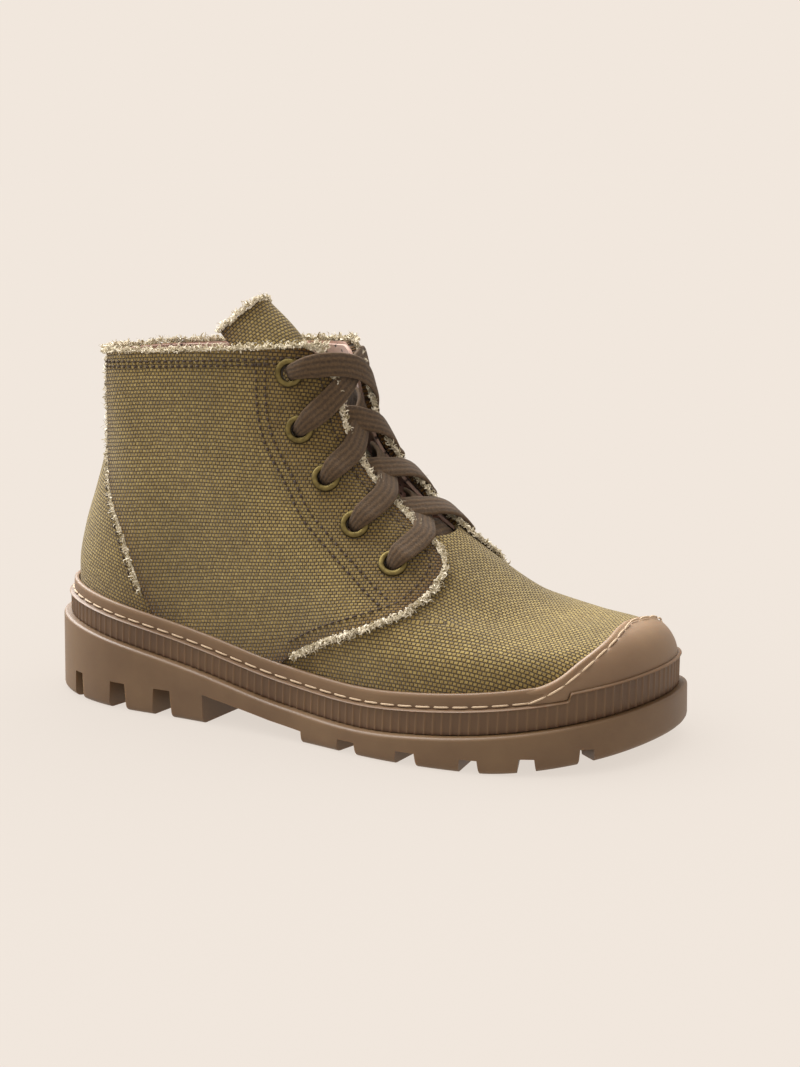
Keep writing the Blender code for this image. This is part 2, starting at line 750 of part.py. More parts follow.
def throat_view(theta, level):
    """Places on the last seen square on to the throat: up along it, and across it."""
    foot = np.array(side_point(*THROAT[0][:2]))
    head = np.array(side_point(*THROAT[-1][:2]))
    line = (head - foot) / np.linalg.norm(head - foot)
    p = last_point(theta, level)
    return np.stack([p[..., 0] * line[0] + p[..., 2] * line[1], p[..., 1]], axis=-1)


def over_throat(start, end, shares):
    """Angles and levels along a line that is straight when seen square on to the throat."""
    goal = start + (end - start) * shares[:, None]
    theta = -goal[:, 1] / (EYELET_SPREAD / 2) * radians(EYELET_ANGLE)
    level = np.full_like(theta, EYELET_ROWS[2][0])
    d = 1e-4
    for _ in range(30):
        miss = goal - throat_view(theta, level)
        by_theta = (throat_view(theta + d, level) - throat_view(theta - d, level)) / (2 * d)
        by_level = (throat_view(theta, level) - throat_view(theta, level - d)) / d
        both = np.stack([by_theta, by_level], axis=-1)
        step = np.linalg.solve(both, miss[..., None])[..., 0]
        theta = theta + step[:, 0]
        level = np.clip(level + step[:, 1], 0.3, 1.0)
    return theta, level


def strand_shares(start, end, to_eyelet):
    """Places along a strand: over one facing, straight across the gap, over the other."""
    narrowest = min(half for _, _, half in THROAT) * THROAT_GAP
    edge = np.copysign(narrowest - LACE_THICKNESS / 2, end[1])
    leave = (-edge - start[1]) / (end[1] - start[1])
    arrive = (edge - start[1]) / (end[1] - start[1])
    begin = LACE_START / np.linalg.norm(end - start)
    finish = 1 - begin if to_eyelet else 1.0
    return np.concatenate([np.linspace(begin, leave, LACE_STEPS),
                           np.linspace(arrive, finish, LACE_STEPS)])


def across_gap(points):
    """Points with a straight run of steps put between their two middle ones."""
    half = len(points) // 2
    steps = np.linspace(0, 1, GAP_STEPS + 1)[1:-1, None]
    run = points[half - 1] + (points[half] - points[half - 1]) * steps
    return np.concatenate([points[:half], run, points[half:]])


def ribbon(name, start, end, shares, lift, collection, mat=None):
    """Flat lace strand at lift from the last, drawn straight between its middle shares."""
    theta, level = over_throat(start, end, shares)
    base = across_gap(surface(theta, level, lift))
    normal = across_gap(surface(theta, level, lift + LACE_THICKNESS)) - base
    normal /= np.linalg.norm(normal, axis=1)[:, None]
    side = np.cross(np.gradient(base, axis=0), normal)
    side /= np.linalg.norm(side, axis=1)[:, None]
    half = side * LACE_WIDTH / 2
    thick = normal * LACE_THICKNESS
    loops = [base - half, base + half, base + half + thick, base - half + thick]
    points = np.stack(loops, axis=1).reshape(-1, 3)
    faces = [(0, 1, 2, 3)]
    for row in range(len(base) - 1):
        for k in range(4):
            nxt = (k + 1) % 4
            faces.append((row * 4 + k, row * 4 + nxt, row * 4 + 4 + nxt, row * 4 + 4 + k))
    tail = (len(base) - 1) * 4
    faces.append((tail + 3, tail + 2, tail + 1, tail))
    return add_object(name, outward(new_mesh(name, points, faces)), collection, mat)


def build_lace(parts, cutters, cotton):
    """Lace: the lowest bar inside the throat, and a joined crossing above each row."""
    places = [throat_view(theta, level) for _, theta, level in eyelet_places()]
    reach = BAR_REACH * THROAT_GAP / abs(places[0][1] - places[1][1])
    ends = np.array((0.5 - reach / 2, 0.5 + reach / 2))
    ribbon("lace_bar", places[0], places[1], ends, -BAR_DEPTH, parts, cotton)

    lift = QUARTER_STEP + LACE_CLEARANCE
    rows = len(EYELET_ROWS) - 1
    for row in range(rows):
        outer, inner, outer_up, inner_up = places[2 * row:2 * row + 4]
        top = row == rows - 1
        if not top:
            half_way = (outer[0] + outer_up[0]) / 2
            outer_up = np.array((half_way, outer_up[1] * LACE_REACH))
            inner_up = np.array((half_way, inner_up[1] * LACE_REACH))
        shares = strand_shares(outer, inner_up, top)
        obj = ribbon(f"lace_crossing_{row + 1}", outer, inner_up, shares, lift, parts, cotton)
        over = ribbon(f"lace_strand_{row + 1}", inner, outer_up, shares, lift + GAP, cutters)
        boolean(obj, over, "UNION")


def main():
    for obj in list(bpy.data.objects):
        bpy.data.objects.remove(obj, do_unlink=True)
    parts = bpy.data.collections.new("canvas_ankle_boot")
    cutters = bpy.data.collections.new("cutters")
    for collection in (parts, cutters):
        bpy.context.scene.collection.children.link(collection)

    rubber = material("gum_rubber", (0.16, 0.085, 0.05), 0.45)
    canvas = material("olive_canvas", (0.18, 0.14, 0.06), 0.9)
    lining = material("insole_sock", (0.35, 0.24, 0.19), 0.85)
    cotton = material("lace_cotton", (0.05, 0.04, 0.028), 0.85)
    brass = material("antique_brass", (0.20, 0.14, 0.06), 0.35, 1.0)

    build_outsole(parts, cutters, rubber)
    build_sidewall(parts, rubber)
    build_toe_cap(parts, cutters, rubber)
    build_upper(parts, cutters, canvas)
    build_insole(parts, lining)
    build_tongue(parts, canvas)
    build_eyelets(parts, brass)
    build_lace(parts, cutters, cotton)

    middle = bpy.data.objects.new("middle_line", None)
    parts.objects.link(middle)
    middle.location = MIDDLE_LINE
    for obj in [*parts.objects, *cutters.objects]:
        if obj != middle:
            obj.parent = middle


main()
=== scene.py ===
"""Child's canvas ankle boot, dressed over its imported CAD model.

Metres, +X to the toe, +Y to the inner (medial) side, +Z up. Every piece of cloth and every
band of rubber is worked out on one last, the form that the canvas is pulled over, so it
lies where the CAD solid that it stands for lies.
"""

import json
import bpy
import bmesh
import numpy as np
from math import pi, radians
from mathutils import Matrix, Vector

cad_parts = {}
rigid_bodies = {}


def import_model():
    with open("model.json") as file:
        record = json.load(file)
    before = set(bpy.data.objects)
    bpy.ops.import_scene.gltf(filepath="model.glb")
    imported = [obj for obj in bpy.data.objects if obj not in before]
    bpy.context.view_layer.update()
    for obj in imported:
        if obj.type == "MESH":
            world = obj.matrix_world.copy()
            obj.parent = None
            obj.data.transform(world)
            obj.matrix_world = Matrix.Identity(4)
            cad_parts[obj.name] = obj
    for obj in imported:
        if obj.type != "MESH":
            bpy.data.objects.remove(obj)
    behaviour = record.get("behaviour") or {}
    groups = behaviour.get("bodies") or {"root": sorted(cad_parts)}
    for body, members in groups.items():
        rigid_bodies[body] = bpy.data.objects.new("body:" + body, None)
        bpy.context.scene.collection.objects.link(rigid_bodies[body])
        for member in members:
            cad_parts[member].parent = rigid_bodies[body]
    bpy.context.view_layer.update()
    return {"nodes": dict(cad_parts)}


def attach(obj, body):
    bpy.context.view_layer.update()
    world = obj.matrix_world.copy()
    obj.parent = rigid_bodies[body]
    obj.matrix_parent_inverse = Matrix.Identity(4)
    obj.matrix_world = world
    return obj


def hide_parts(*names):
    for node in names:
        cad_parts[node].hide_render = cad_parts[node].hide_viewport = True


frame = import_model()


# Vamp
# The front of the upper: one piece of heavy olive canvas, plain-woven from thick yarn that
# shows as small beads. It is cut round, pulled over the last and cemented under the rubber.
SOLE_LENGTH = 0.218
BALL_WIDTH = 0.0855
COLLAR_RISE = 0.1075
HEEL_HEIGHT = 0.027
GAP = 0.0003
LEDGE = 0.0027
RUBBER = 0.0023
LAST_LENGTH = SOLE_LENGTH - 2 * (LEDGE + RUBBER + GAP)
LAST_HALF_WIDTH = BALL_WIDTH / 2 - (LEDGE + RUBBER + GAP)
MIDDLE_LINE = (0.00047, 0.00147, 0.0)

# Side of the sole: share of its length from the heel, ledge height as a share of the heel's
SOLE_SIDE = (
    (0.000, 1.000),
    (0.165, 0.833),
    (0.330, 0.611),
    (0.480, 0.385),
    (0.615, 0.300),
    (0.740, 0.348),
    (0.880, 0.480),
    (1.000, 0.655),
)

# Rings of the last in shares of its length, the collar's rise and its half width
RINGS = (
    # level, front, rise, back, rise, dip, swing, toe, ball, vamp, waist, shank, heel, back
    (0.00, 1.000, 0.000, 0.0000, 0.000, 1.00, 1.00, 0.640, 0.960, 0.970, 0.775, 0.735, 0.710, 0.430),
    (0.10, 0.999, 0.110, 0.0025, 0.106, 1.00, 1.00, 0.630, 0.950, 0.960, 0.765, 0.725, 0.700, 0.425),
    (0.18, 0.979, 0.168, 0.0065, 0.182, 0.80, 0.95, 0.550, 0.900, 0.950, 0.760, 0.720, 0.695, 0.425),
    (0.27, 0.929, 0.202, 0.0200, 0.277, 0.50, 0.90, 0.440, 0.785, 0.880, 0.750, 0.710, 0.680, 0.405),
    (0.40, 0.838, 0.261, 0.0440, 0.396, 0.25, 0.75, 0.385, 0.680, 0.760, 0.715, 0.685, 0.645, 0.385),
    (0.55, 0.721, 0.412, 0.0680, 0.531, 0.05, 0.50, 0.325, 0.550, 0.640, 0.670, 0.650, 0.600, 0.360),
    (0.70, 0.630, 0.551, 0.0770, 0.637, 0.00, 0.30, 0.300, 0.525, 0.600, 0.640, 0.625, 0.575, 0.345),
    (0.86, 0.543, 0.742, 0.0795, 0.747, 0.00, 0.10, 0.275, 0.480, 0.560, 0.605, 0.590, 0.545, 0.325),
    (1.00, 0.512, 0.995, 0.0805, 0.824, 0.00, 0.00, 0.215, 0.415, 0.520, 0.565, 0.560, 0.515, 0.315),
)
SWING = (0.090, 0.065, 0.000, -0.075, -0.105, -0.045, -0.005, 0.000, 0.000)

# The quarter's front edge: level on the last, angle from the toe in degrees
FRONT_EDGE = (
    (0.060, 95.0),
    (0.132, 90.1),
    (0.186, 83.5),
    (0.277, 68.4),
    (0.351, 57.6),
    (0.413, 49.0),
    (0.473, 38.4),
    (0.500, 33.0),
    (0.533, 27.0),
    (0.569, 23.1),
    (0.619, 21.0),
    (0.690, 20.6),
    (0.764, 21.6),
    (0.840, 19.8),
    (0.920, 21.5),
    (0.960, 23.0),
    (0.985, 27.5),
    (1.000, 37.0),
)
CANVAS = 0.0012
UPPER_FOOT = 0.080
VAMP_TOP = 0.622
VAMP_TURN = 2.1
VAMP_GRAIN = -10.0
VAMP_LAP = 5.0
FOOT_WEAR = 0.05
UNROLL_STEPS = (721, 61)
UNROLL_EVERY = 3
UNROLL_MARGIN = 0.1
LAID_STEPS = (61, 27)
LAID_MARGIN = 0.02
LAID_ROUNDING = 1.5
RELAX_ROUNDS = 2500
RELAX_GAIN = 1.6


def smooth(knots, values, at):
    """Cubic curve through the values, with the slope at each from its two neighbours."""
    knots = np.asarray(knots, float)
    values = np.asarray(values, float)
    slopes = np.gradient(values, knots, axis=0)
    at = np.clip(at, knots[0], knots[-1])
    i = np.clip(np.searchsorted(knots, at, side="right") - 1, 0, len(knots) - 2)
    step = knots[i + 1] - knots[i]
    t = (at - knots[i]) / step
    if values.ndim > 1:
        t = t[..., None]
        step = step[..., None]
    a = values[i] * (2 * t**3 - 3 * t**2 + 1) + values[i + 1] * (3 * t**2 - 2 * t**3)
    b = slopes[i] * (t**3 - 2 * t**2 + t) + slopes[i + 1] * (t**3 - t**2)
    return a + b * step


def ledge_height(x):
    """Height of the sole's ledge at a place along the shoe."""
    side = np.array(SOLE_SIDE)
    return smooth(side[:, 0], side[:, 1] * HEEL_HEIGHT, np.asarray(x) / SOLE_LENGTH + 0.5)


def ring_values(places, columns, at):
    """The smooth curve through a table whose columns differ from point to point."""
    i = np.clip(np.searchsorted(places, at, side="right") - 1, 1, len(places) - 3)
    step = places[1] - places[0]
    t = (at - places[i]) / step
    before, start, end, after = (np.take_along_axis(columns, j[..., None], axis=-1)[..., 0]
                                 for j in (i - 1, i, i + 1, i + 2))
    slope_a = (end - before) / 2
    slope_b = (after - start) / 2
    return (start * (2 * t**3 - 3 * t**2 + 1) + end * (3 * t**2 - 2 * t**3)
            + slope_a * (t**3 - 2 * t**2 + t) + slope_b * (t**3 - t**2))


def last_point(theta, level):
    """Point of the last: theta runs round the ring from the toe along the outer side."""
    theta, level = np.broadcast_arrays(np.asarray(theta, float), np.asarray(level, float))
    table = np.array(RINGS)
    row = smooth(table[:, 0], table[:, 1:], level)
    turn = (theta + pi) % (2 * pi) - pi
    around = np.abs(turn)
    share = (1 - np.cos(around)) / 2
    front = (row[..., 0] - 0.5) * LAST_LENGTH
    back = (row[..., 2] - 0.5) * LAST_LENGTH
    x = front + (back - front) * share
    rise = (row[..., 1] + (row[..., 3] - row[..., 1]) * share) * COLLAR_RISE
    line = ledge_height(front) + (ledge_height(back) - ledge_height(front)) * share
    z = GAP + rise + line + row[..., 4] * (ledge_height(x) - line)
    widths = row[..., 6:]
    closed = np.concatenate([-widths[..., :1], 0 * widths[..., :1], widths,
                             0 * widths[..., :1], -widths[..., -1:]], axis=-1)
    places = np.arange(-1, 10) * pi / 8
    half = ring_values(places, closed, around) * LAST_HALF_WIDTH
    bend = np.array((SWING[1],) + SWING + (SWING[-2],))
    middle = smooth(places, bend, around) * row[..., 5] * LAST_HALF_WIDTH
    return np.stack([x, middle - np.sign(turn) * half, z], axis=-1)


def unit(vectors):
    """The vectors at length one."""
    return vectors / np.linalg.norm(vectors, axis=-1, keepdims=True)


def run_length(points, axis=0):
    """Length up to each point along a path, or along the lines of a grid that run that way."""
    start = np.take(points, [0], axis=axis)
    return np.cumsum(np.linalg.norm(np.diff(points, axis=axis, prepend=start), axis=-1), axis=axis)


def normal_of(theta, level):
    """The last's normal: across the slope of the level and that of the angle."""
    d = 1e-4
    level = np.asarray(level, float)
    along = last_point(np.asarray(theta) + d, level) - last_point(np.asarray(theta) - d, level)
    up = last_point(theta, np.clip(level + d, 0, 1)) - last_point(theta, np.clip(level - d, 0, 1))
    return unit(np.cross(up, along))


def surface(theta, level, lift=0.0):
    """Point that stands off the last by lift, along the last's normal."""
    return last_point(theta, level) + np.asarray(lift)[..., None] * normal_of(theta, level)


def cloth_place(theta, level, middle, grain=0.0):
    """Place on the flat cloth in millimetres, by unrolling the last from the angle in the middle.

    One way is the length round the ring from there, the other the length square to the
    rings; grain turns both by an angle.
    """
    turns = np.linspace(-2 * pi, 2 * pi, UNROLL_STEPS[0])
    heights = np.linspace(0, 1, UNROLL_STEPS[1])
    grid = last_point(turns[None, :], heights[:, None])
    along = unit(np.gradient(grid, axis=1))
    rise = np.diff(grid, axis=0, prepend=grid[:1])
    lean = np.sum(rise * along, axis=2)
    up = np.cumsum(np.sqrt(np.clip(np.sum(rise**2, axis=2) - lean**2, 0, None)), axis=0)
    around = run_length(grid, axis=1)
    start = np.array([np.interp(middle, turns, row) for row in around])
    shift = np.cumsum([np.interp(middle, turns, row) for row in lean])
    around = around + (shift - start)[:, None]
    ends = (theta.min() - UNROLL_MARGIN, theta.max() + UNROLL_MARGIN)
    first, last = np.searchsorted(turns, ends)
    part = np.s_[:, first:last:UNROLL_EVERY]
    cloth = relaxed(np.stack([around, up], axis=-1)[part], grid[part])
    return looked_up(theta, level, turns[part[1]], heights, cloth, grain)


def relaxed(cloth, solid):
    """A flat grid of cloth moved until its threads and diagonals are as long as on the last."""
    ways = [(np.s_[:, :-1], np.s_[:, 1:]), (np.s_[:-1], np.s_[1:]),
            (np.s_[:-1, :-1], np.s_[1:, 1:]), (np.s_[:-1, 1:], np.s_[1:, :-1])]
    goals = [np.linalg.norm(solid[b] - solid[a], axis=-1) for a, b in ways]
    for _ in range(RELAX_ROUNDS):
        move, count = np.zeros_like(cloth), np.zeros(cloth.shape[:2] + (1,))
        for (a, b), goal in zip(ways, goals):
            gap = cloth[b] - cloth[a]
            length = np.maximum(np.linalg.norm(gap, axis=-1), 1e-6)
            pull_in = gap * (0.5 - 0.5 * goal / length)[..., None]
            move[a] += pull_in
            move[b] -= pull_in
            count[a] += 1
            count[b] += 1
        cloth = cloth + move / count * RELAX_GAIN
    return cloth


def looked_up(theta, level, turns, heights, table, grain):
    """Places read between the knots of a table over angle and level, turned by grain, in mm."""
    col = (theta - turns[0]) / (turns[-1] - turns[0]) * (len(turns) - 1)
    row = (level - heights[0]) / (heights[-1] - heights[0]) * (len(heights) - 1)
    c = np.clip(col.astype(int), 0, len(turns) - 2)
    r = np.clip(row.astype(int), 0, len(heights) - 2)
    fc, fr = (col - c)[..., None], (row - r)[..., None]
    place = ((table[r, c] * (1 - fc) + table[r, c + 1] * fc) * (1 - fr)
             + (table[r + 1, c] * (1 - fc) + table[r + 1, c + 1] * fc) * fr)
    u, v = place[..., 0], place[..., 1]
    turned = (u * np.cos(grain) - v * np.sin(grain), v * np.cos(grain) + u * np.sin(grain))
    return np.stack(turned, axis=-1) * 1000


def laid_cloth(theta, level, grain):
    """Place on the cloth laid over the toe, relaxed until all its threads keep their length."""
    turns = np.linspace(-VAMP_TURN, VAMP_TURN, LAID_STEPS[0])
    heights = np.linspace(0, VAMP_TOP + LAID_MARGIN, LAID_STEPS[1])
    solid = last_point(turns[None, :], heights[:, None])
    ridge = solid[:, len(turns) // 2]
    back = -ridge[:, 0]
    over = np.interp(-solid[..., 0], back, run_length(ridge)) + np.clip(-solid[..., 0] - back[-1], 0, None)
    drop = np.clip(np.interp(-solid[..., 0], back, ridge[:, 2]) - solid[..., 2], 0, None)
    aside = np.abs(solid[..., 1] - np.interp(-solid[..., 0], back, ridge[:, 1]))
    down = (aside**LAID_ROUNDING + drop**LAID_ROUNDING)**(1 / LAID_ROUNDING)
    cloth = relaxed(np.stack([over, np.sign(turns) * down], axis=-1), solid)
    return looked_up(theta, level, turns, heights, cloth, grain)


def front_edge(level):
    """Angle of the quarter's front edge at a level."""
    table = np.array(FRONT_EDGE)
    return radians(1) * smooth(table[:, 0], table[:, 1], level)


def grid_quads(rows, columns):
    """Quads between points that are stored row after row."""
    low = (np.arange(rows - 1)[:, None] * columns + np.arange(columns - 1)).ravel()
    return np.stack([low, low + 1, low + columns + 1, low + columns], axis=1)


def slab(outer, inner):
    """Closed slab: outer sheet, inner sheet and the strip round their edge."""
    rows, columns = outer.shape[:2]
    count = rows * columns
    sheet = grid_quads(rows, columns)
    edge = np.concatenate([np.arange(columns), np.arange(2, rows + 1) * columns - 1,
                           np.arange(columns - 2, -1, -1) + count - columns,
                           np.arange(rows - 2, 0, -1) * columns])
    after = np.roll(edge, -1)
    strip = np.stack([after, edge, edge + count, after + count], axis=1)
    points = np.concatenate([outer.reshape(-1, 3), inner.reshape(-1, 3)])
    kinds = np.repeat((0, 1, 2), (len(sheet), len(sheet), len(strip)))
    return points, np.concatenate([sheet, sheet[:, ::-1] + count, strip]), kinds


def linear(code, alpha=1.0):
    """Linear colour from an sRGB hex value."""
    parts = np.array([int(code[i:i + 2], 16) / 255 for i in (1, 3, 5)])
    parts = np.where(parts <= 0.04045, parts / 12.92, ((parts + 0.055) / 1.055)**2.4)
    return (*parts, alpha)


def feed(tree, target, inputs):
    """Set a node's inputs, each to a value or to another node's output."""
    for name, value in inputs.items():
        if isinstance(value, bpy.types.NodeSocket):
            tree.links.new(value, target.inputs[name])
        else:
            target.inputs[name].default_value = value


def node(tree, kind, settings, inputs):
    """Add a node with its settings and inputs."""
    new = tree.nodes.new("ShaderNode" + kind)
    for name, value in settings.items():
        setattr(new, name, value)
    feed(tree, new, inputs)
    return new


def new_finish(name):
    """A material with only its output, and the shader linked to it."""
    mat = bpy.data.materials.new(name)
    mat.use_nodes = True
    mat.node_tree.nodes.clear()
    shader = node(mat.node_tree, "BsdfPrincipled", {}, {})
    node(mat.node_tree, "OutputMaterial", {}, {"Surface": shader.outputs[0]})
    return mat, mat.node_tree, shader


def woven_canvas(name, light, dark, gap):
    """Plain-woven canvas: bead-like floats in brick order, 1.4 mm long and 1.1 mm apart.

    Matt and dry, with painted shade in the gaps between the yarns, and with faded and browned patches.
    """
    mat, tree, shader = new_finish(name)
    place = node(tree, "UVMap", {"uv_map": "cloth"}, {})
    waver = node(tree, "TexNoise", {}, {"Vector": place.outputs[0], "Scale": 0.22, "Detail": 2.0})
    centred = node(tree, "VectorMath", {"operation": "SUBTRACT"},
                   {0: waver.outputs["Color"], 1: (0.5, 0.5, 0.5)})
    shifted = node(tree, "VectorMath", {"operation": "MULTIPLY_ADD"},
                   {0: centred.outputs[0], 1: (0.6, 0.5, 0.0), 2: place.outputs[0]})
    # The mortar colour is painted shade in the gaps between the yarns.
    yarn = node(tree, "TexBrick", {"offset": 0.5},
                {"Vector": shifted.outputs[0], "Scale": 1.0, "Mortar Size": 0.30, "Mortar Smooth": 1.0,
                 "Bias": 0.0, "Brick Width": 1.36, "Row Height": 1.14,
                 "Color1": linear(light), "Color2": linear(dark), "Mortar": linear(gap)})
    patches = node(tree, "TexNoise", {}, {"Vector": place.outputs[0], "Scale": 0.030, "Detail": 4.0,
                                          "Roughness": 0.6})
    patch = node(tree, "MapRange", {}, {0: patches.outputs[0], 1: 0.35, 2: 0.70, 3: 0.84, 4: 1.12})
    worn = node(tree, "Attribute", {"attribute_name": "wear"}, {})
    toned = node(tree, "VectorMath", {"operation": "SCALE"},
                 {0: yarn.outputs["Color"], "Scale": patch.outputs[0]})
    brown = node(tree, "Mix", {"data_type": "RGBA", "blend_type": "MULTIPLY"},
                 {0: worn.outputs["Fac"], 6: toned.outputs[0], 7: linear("#A08468")})
    fuzz = node(tree, "TexNoise", {}, {"Vector": place.outputs[0], "Scale": 3.2, "Detail": 3.0})
    height = node(tree, "Math", {"operation": "MULTIPLY_ADD"},
                  {0: fuzz.outputs[0], 1: 0.5, 2: yarn.outputs["Fac"]})
    bump = node(tree, "Bump", {"invert": True},
                {"Strength": 0.8, "Distance": 0.0006, "Height": height.outputs[0]})
    feed(tree, shader, {"Base Color": brown.outputs[2], "Normal": bump.outputs[0], "Roughness": 0.92,
                        "Specular IOR Level": 0.25, "Sheen Weight": 0.18, "Sheen Roughness": 0.5})
    return mat


def lining_cloth():
    """Lining: thin pinkish-beige synthetic suede, punched with rows of small air holes."""
    mat, tree, shader = new_finish("punched_lining")
    place = node(tree, "UVMap", {"uv_map": "cloth"}, {})
    holes = node(tree, "TexVoronoi", {"feature": "F1"},
                 {"Vector": place.outputs[0], "Scale": 0.26, "Randomness": 0.0})
    hole = node(tree, "MapRange", {}, {0: holes.outputs["Distance"], 1: 0.10, 2: 0.16, 3: 0.0, 4: 1.0})
    nap = node(tree, "TexNoise", {}, {"Vector": place.outputs[0], "Scale": 0.9, "Detail": 5.0})
    tone = node(tree, "Mix", {"data_type": "RGBA"},
                {0: nap.outputs[0], 6: linear("#A98A7C"), 7: linear("#C7AA9B")})
    # Each air hole is painted dark brown, as painted shade inside it.
    colour = node(tree, "Mix", {"data_type": "RGBA"},
                  {0: hole.outputs[0], 6: linear("#3B2A22"), 7: tone.outputs[2]})
    bump = node(tree, "Bump", {}, {"Strength": 0.4, "Distance": 0.0004, "Height": hole.outputs[0]})
    feed(tree, shader, {"Base Color": colour.outputs[2], "Normal": bump.outputs[0],
                        "Roughness": 0.88, "Sheen Weight": 0.2})
    return mat


def add_piece(name, points, faces, finishes, slot, stands_for=(), kinds=None, places=None, **shares):
    """Piece from arrays: faces turned outwards by its volume, with its cloth map and shares."""
    points = np.asarray(points, float).reshape(-1, 3) + MIDDLE_LINE
    groups = faces if isinstance(faces, tuple) else (faces,)
    volume = sum(np.sum(points[g[:, 0]] * np.cross(points[g[:, k]], points[g[:, k + 1]]))
                 for g in groups for k in range(1, g.shape[1] - 1))
    if volume < 0:
        groups = [g[:, ::-1] for g in groups]
    corners = np.concatenate([g.ravel() for g in groups])
    totals = np.concatenate([np.full(len(g), g.shape[1]) for g in groups])
    mesh = bpy.data.meshes.new(name)
    mesh.vertices.add(len(points))
    mesh.vertices.foreach_set("co", points.ravel())
    mesh.loops.add(len(corners))
    mesh.loops.foreach_set("vertex_index", corners)
    mesh.polygons.add(len(totals))
    mesh.polygons.foreach_set("loop_start", np.concatenate([[0], np.cumsum(totals)[:-1]]))
    mesh.polygons.foreach_set("loop_total", totals)
    for finish in finishes:
        mesh.materials.append(finish)
    if kinds is not None:
        mesh.polygons.foreach_set("material_index", kinds)
    if places is not None:
        layer = mesh.uv_layers.new(name="cloth")
        layer.data.foreach_set("uv", np.asarray(places, float).reshape(-1, 2)[corners].ravel())
    for share, values in shares.items():
        layer = mesh.attributes.new(share, "FLOAT", "POINT")
        layer.data.foreach_set("value", np.ravel(values).astype(float))
    mesh.update(calc_edges=True)
    mesh.shade_smooth()
    mesh.set_sharp_from_angle(angle=radians(50))
    obj = bpy.data.objects.new(name, mesh)
    bpy.context.scene.collection.objects.link(obj)
    if stands_for:
        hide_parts(*stands_for)
    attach(obj, "root")
    return obj


def pull(theta, level):
    """How the canvas stands off the last where it was pulled: long soft waves, part of a mm."""
    slow = np.sin(3.1 * theta + 7.0 * level + 0.6) * np.sin(5.3 * level - 1.7 * theta)
    drape = np.sin(9.0 * theta - 11.0 * level) * np.sin(2.1 * theta + 4.0)
    return 0.00045 * slow + 0.00018 * drape


def worn_cloth(level, from_edge, at_foot, at_edge, reach):
    """Wear that fades up from the rubber and, over reach in degrees, in from the cut edge."""
    return (at_foot * np.exp(-(level - UPPER_FOOT) / FOOT_WEAR)
            + at_edge * np.exp(-from_edge / radians(reach)))


def cloth_piece(name, theta, level, out, wall, middle, finishes, wear, grain=0.0):
    """Slab of cloth on the last that stands for the upper, with its weave and its wear."""
    lift = out + pull(theta, level)
    outer = surface(theta, level, lift)
    inner = surface(theta, level, lift - wall)
    points, faces, kinds = slab(outer, inner)
    if middle == 0:
        places = laid_cloth(theta, level, grain).reshape(-1, 2)
    else:
        places = cloth_place(theta, level, middle, grain).reshape(-1, 2)
    return add_piece(name, points, faces, finishes, "canvas", ["upper"], kinds,
                     np.concatenate([places, places]), wear=np.tile(np.clip(wear, 0, 1).ravel(), 2))


# The third colour is painted shade in the gaps between the yarns.
CANVAS_FINISH = woven_canvas("olive_canvas", "#A38F55", "#8A7642", "#43341C")
LINING_FINISH = lining_cloth()
CANVAS_FINISHES = [CANVAS_FINISH, LINING_FINISH, CANVAS_FINISH]
VAMP_STEPS = (112, 156)
level = np.linspace(UPPER_FOOT, VAMP_TOP, VAMP_STEPS[0])[:, None]
reach = front_edge(level) + radians(VAMP_LAP)
theta = reach * np.linspace(-1, 1, VAMP_STEPS[1])
level = np.broadcast_to(level, theta.shape)
wear = worn_cloth(level, reach - np.abs(theta), at_foot=0.55, at_edge=0.5, reach=9)
cloth_piece("vamp", theta, level, 0.0, CANVAS, 0.0, CANVAS_FINISHES, wear, radians(VAMP_GRAIN))


# Heel piece
# The back of the upper: a shaped strip of the same canvas up the middle of the heel, which
# the quarters lap over at both sides.
REAR_EDGE = (
    # level, angle
    (0.060, 121.5),
    (0.166, 125.7),
    (0.246, 128.8),
    (0.337, 132.6),
    (0.423, 138.2),
    (0.520, 144.0),
    (0.619, 147.7),
    (0.740, 146.0),
    (0.880, 141.8),
    (1.000, 140.5),
)
HEEL_LAP = 5.0
HEEL_STEPS = (140, 90)


def rear_edge(level):
    """Angle of the quarter's rear edge at a level."""
    table = np.array(REAR_EDGE)
    return radians(1) * smooth(table[:, 0], table[:, 1], level)


level = np.linspace(UPPER_FOOT, 1.0, HEEL_STEPS[0])[:, None]
reach = pi - rear_edge(level) + radians(HEEL_LAP)
theta = pi + reach * np.linspace(-1, 1, HEEL_STEPS[1])
level = np.broadcast_to(level, theta.shape)
wear = worn_cloth(level, reach - np.abs(theta - pi), at_foot=0.5, at_edge=0.6, reach=8)
cloth_piece("heel_piece", theta, level, 0.0, CANVAS, pi, CANVAS_FINISHES, wear)


# Quarters
# The two sides of the upper, sewn over the vamp and the heel piece with raw edges. Each
# carries its row of five eyelets, so it is punched before it is lined.
QUARTER_STEP = 0.0011
EYELET_OUTER = 0.0088
EYELET_BORE = 0.0050
EYELET_SPREAD = 0.0384
EYELET_ANGLE = 46.0
EYELET_ROWS = (
    # level, spread
    (0.509, 1.165),
    (0.621, 1.085),
    (0.756, 0.995),
    (0.864, 0.930),
    (0.960, 0.848),
)
QUARTER_WALL = 0.0022
QUARTER_GRAIN = 16.0
FACING_ANGLE = 62.0
FACING_FADE = 3.0
QUARTER_STEPS = (190, 170)
COLLAR_WEAR = 0.02
PUNCH_DEPTH = 0.012
SIDES = (("outer", 1), ("inner", -1))


def eyelet_angle(side, level, spread):
    """Angle at which the last is as wide as the eyelets of this row stand apart."""
    fine = side * np.linspace(0.02, 1.3 * radians(EYELET_ANGLE), 600)
    half = np.abs(last_point(fine, level)[:, 1])
    return fine[np.abs(half - EYELET_SPREAD * spread / 2).argmin()]


def on_cloth(theta, level, lift):
    """Point at lift over the last, moved with the pull of the canvas."""
    return surface(theta, level, lift + pull(theta, level))


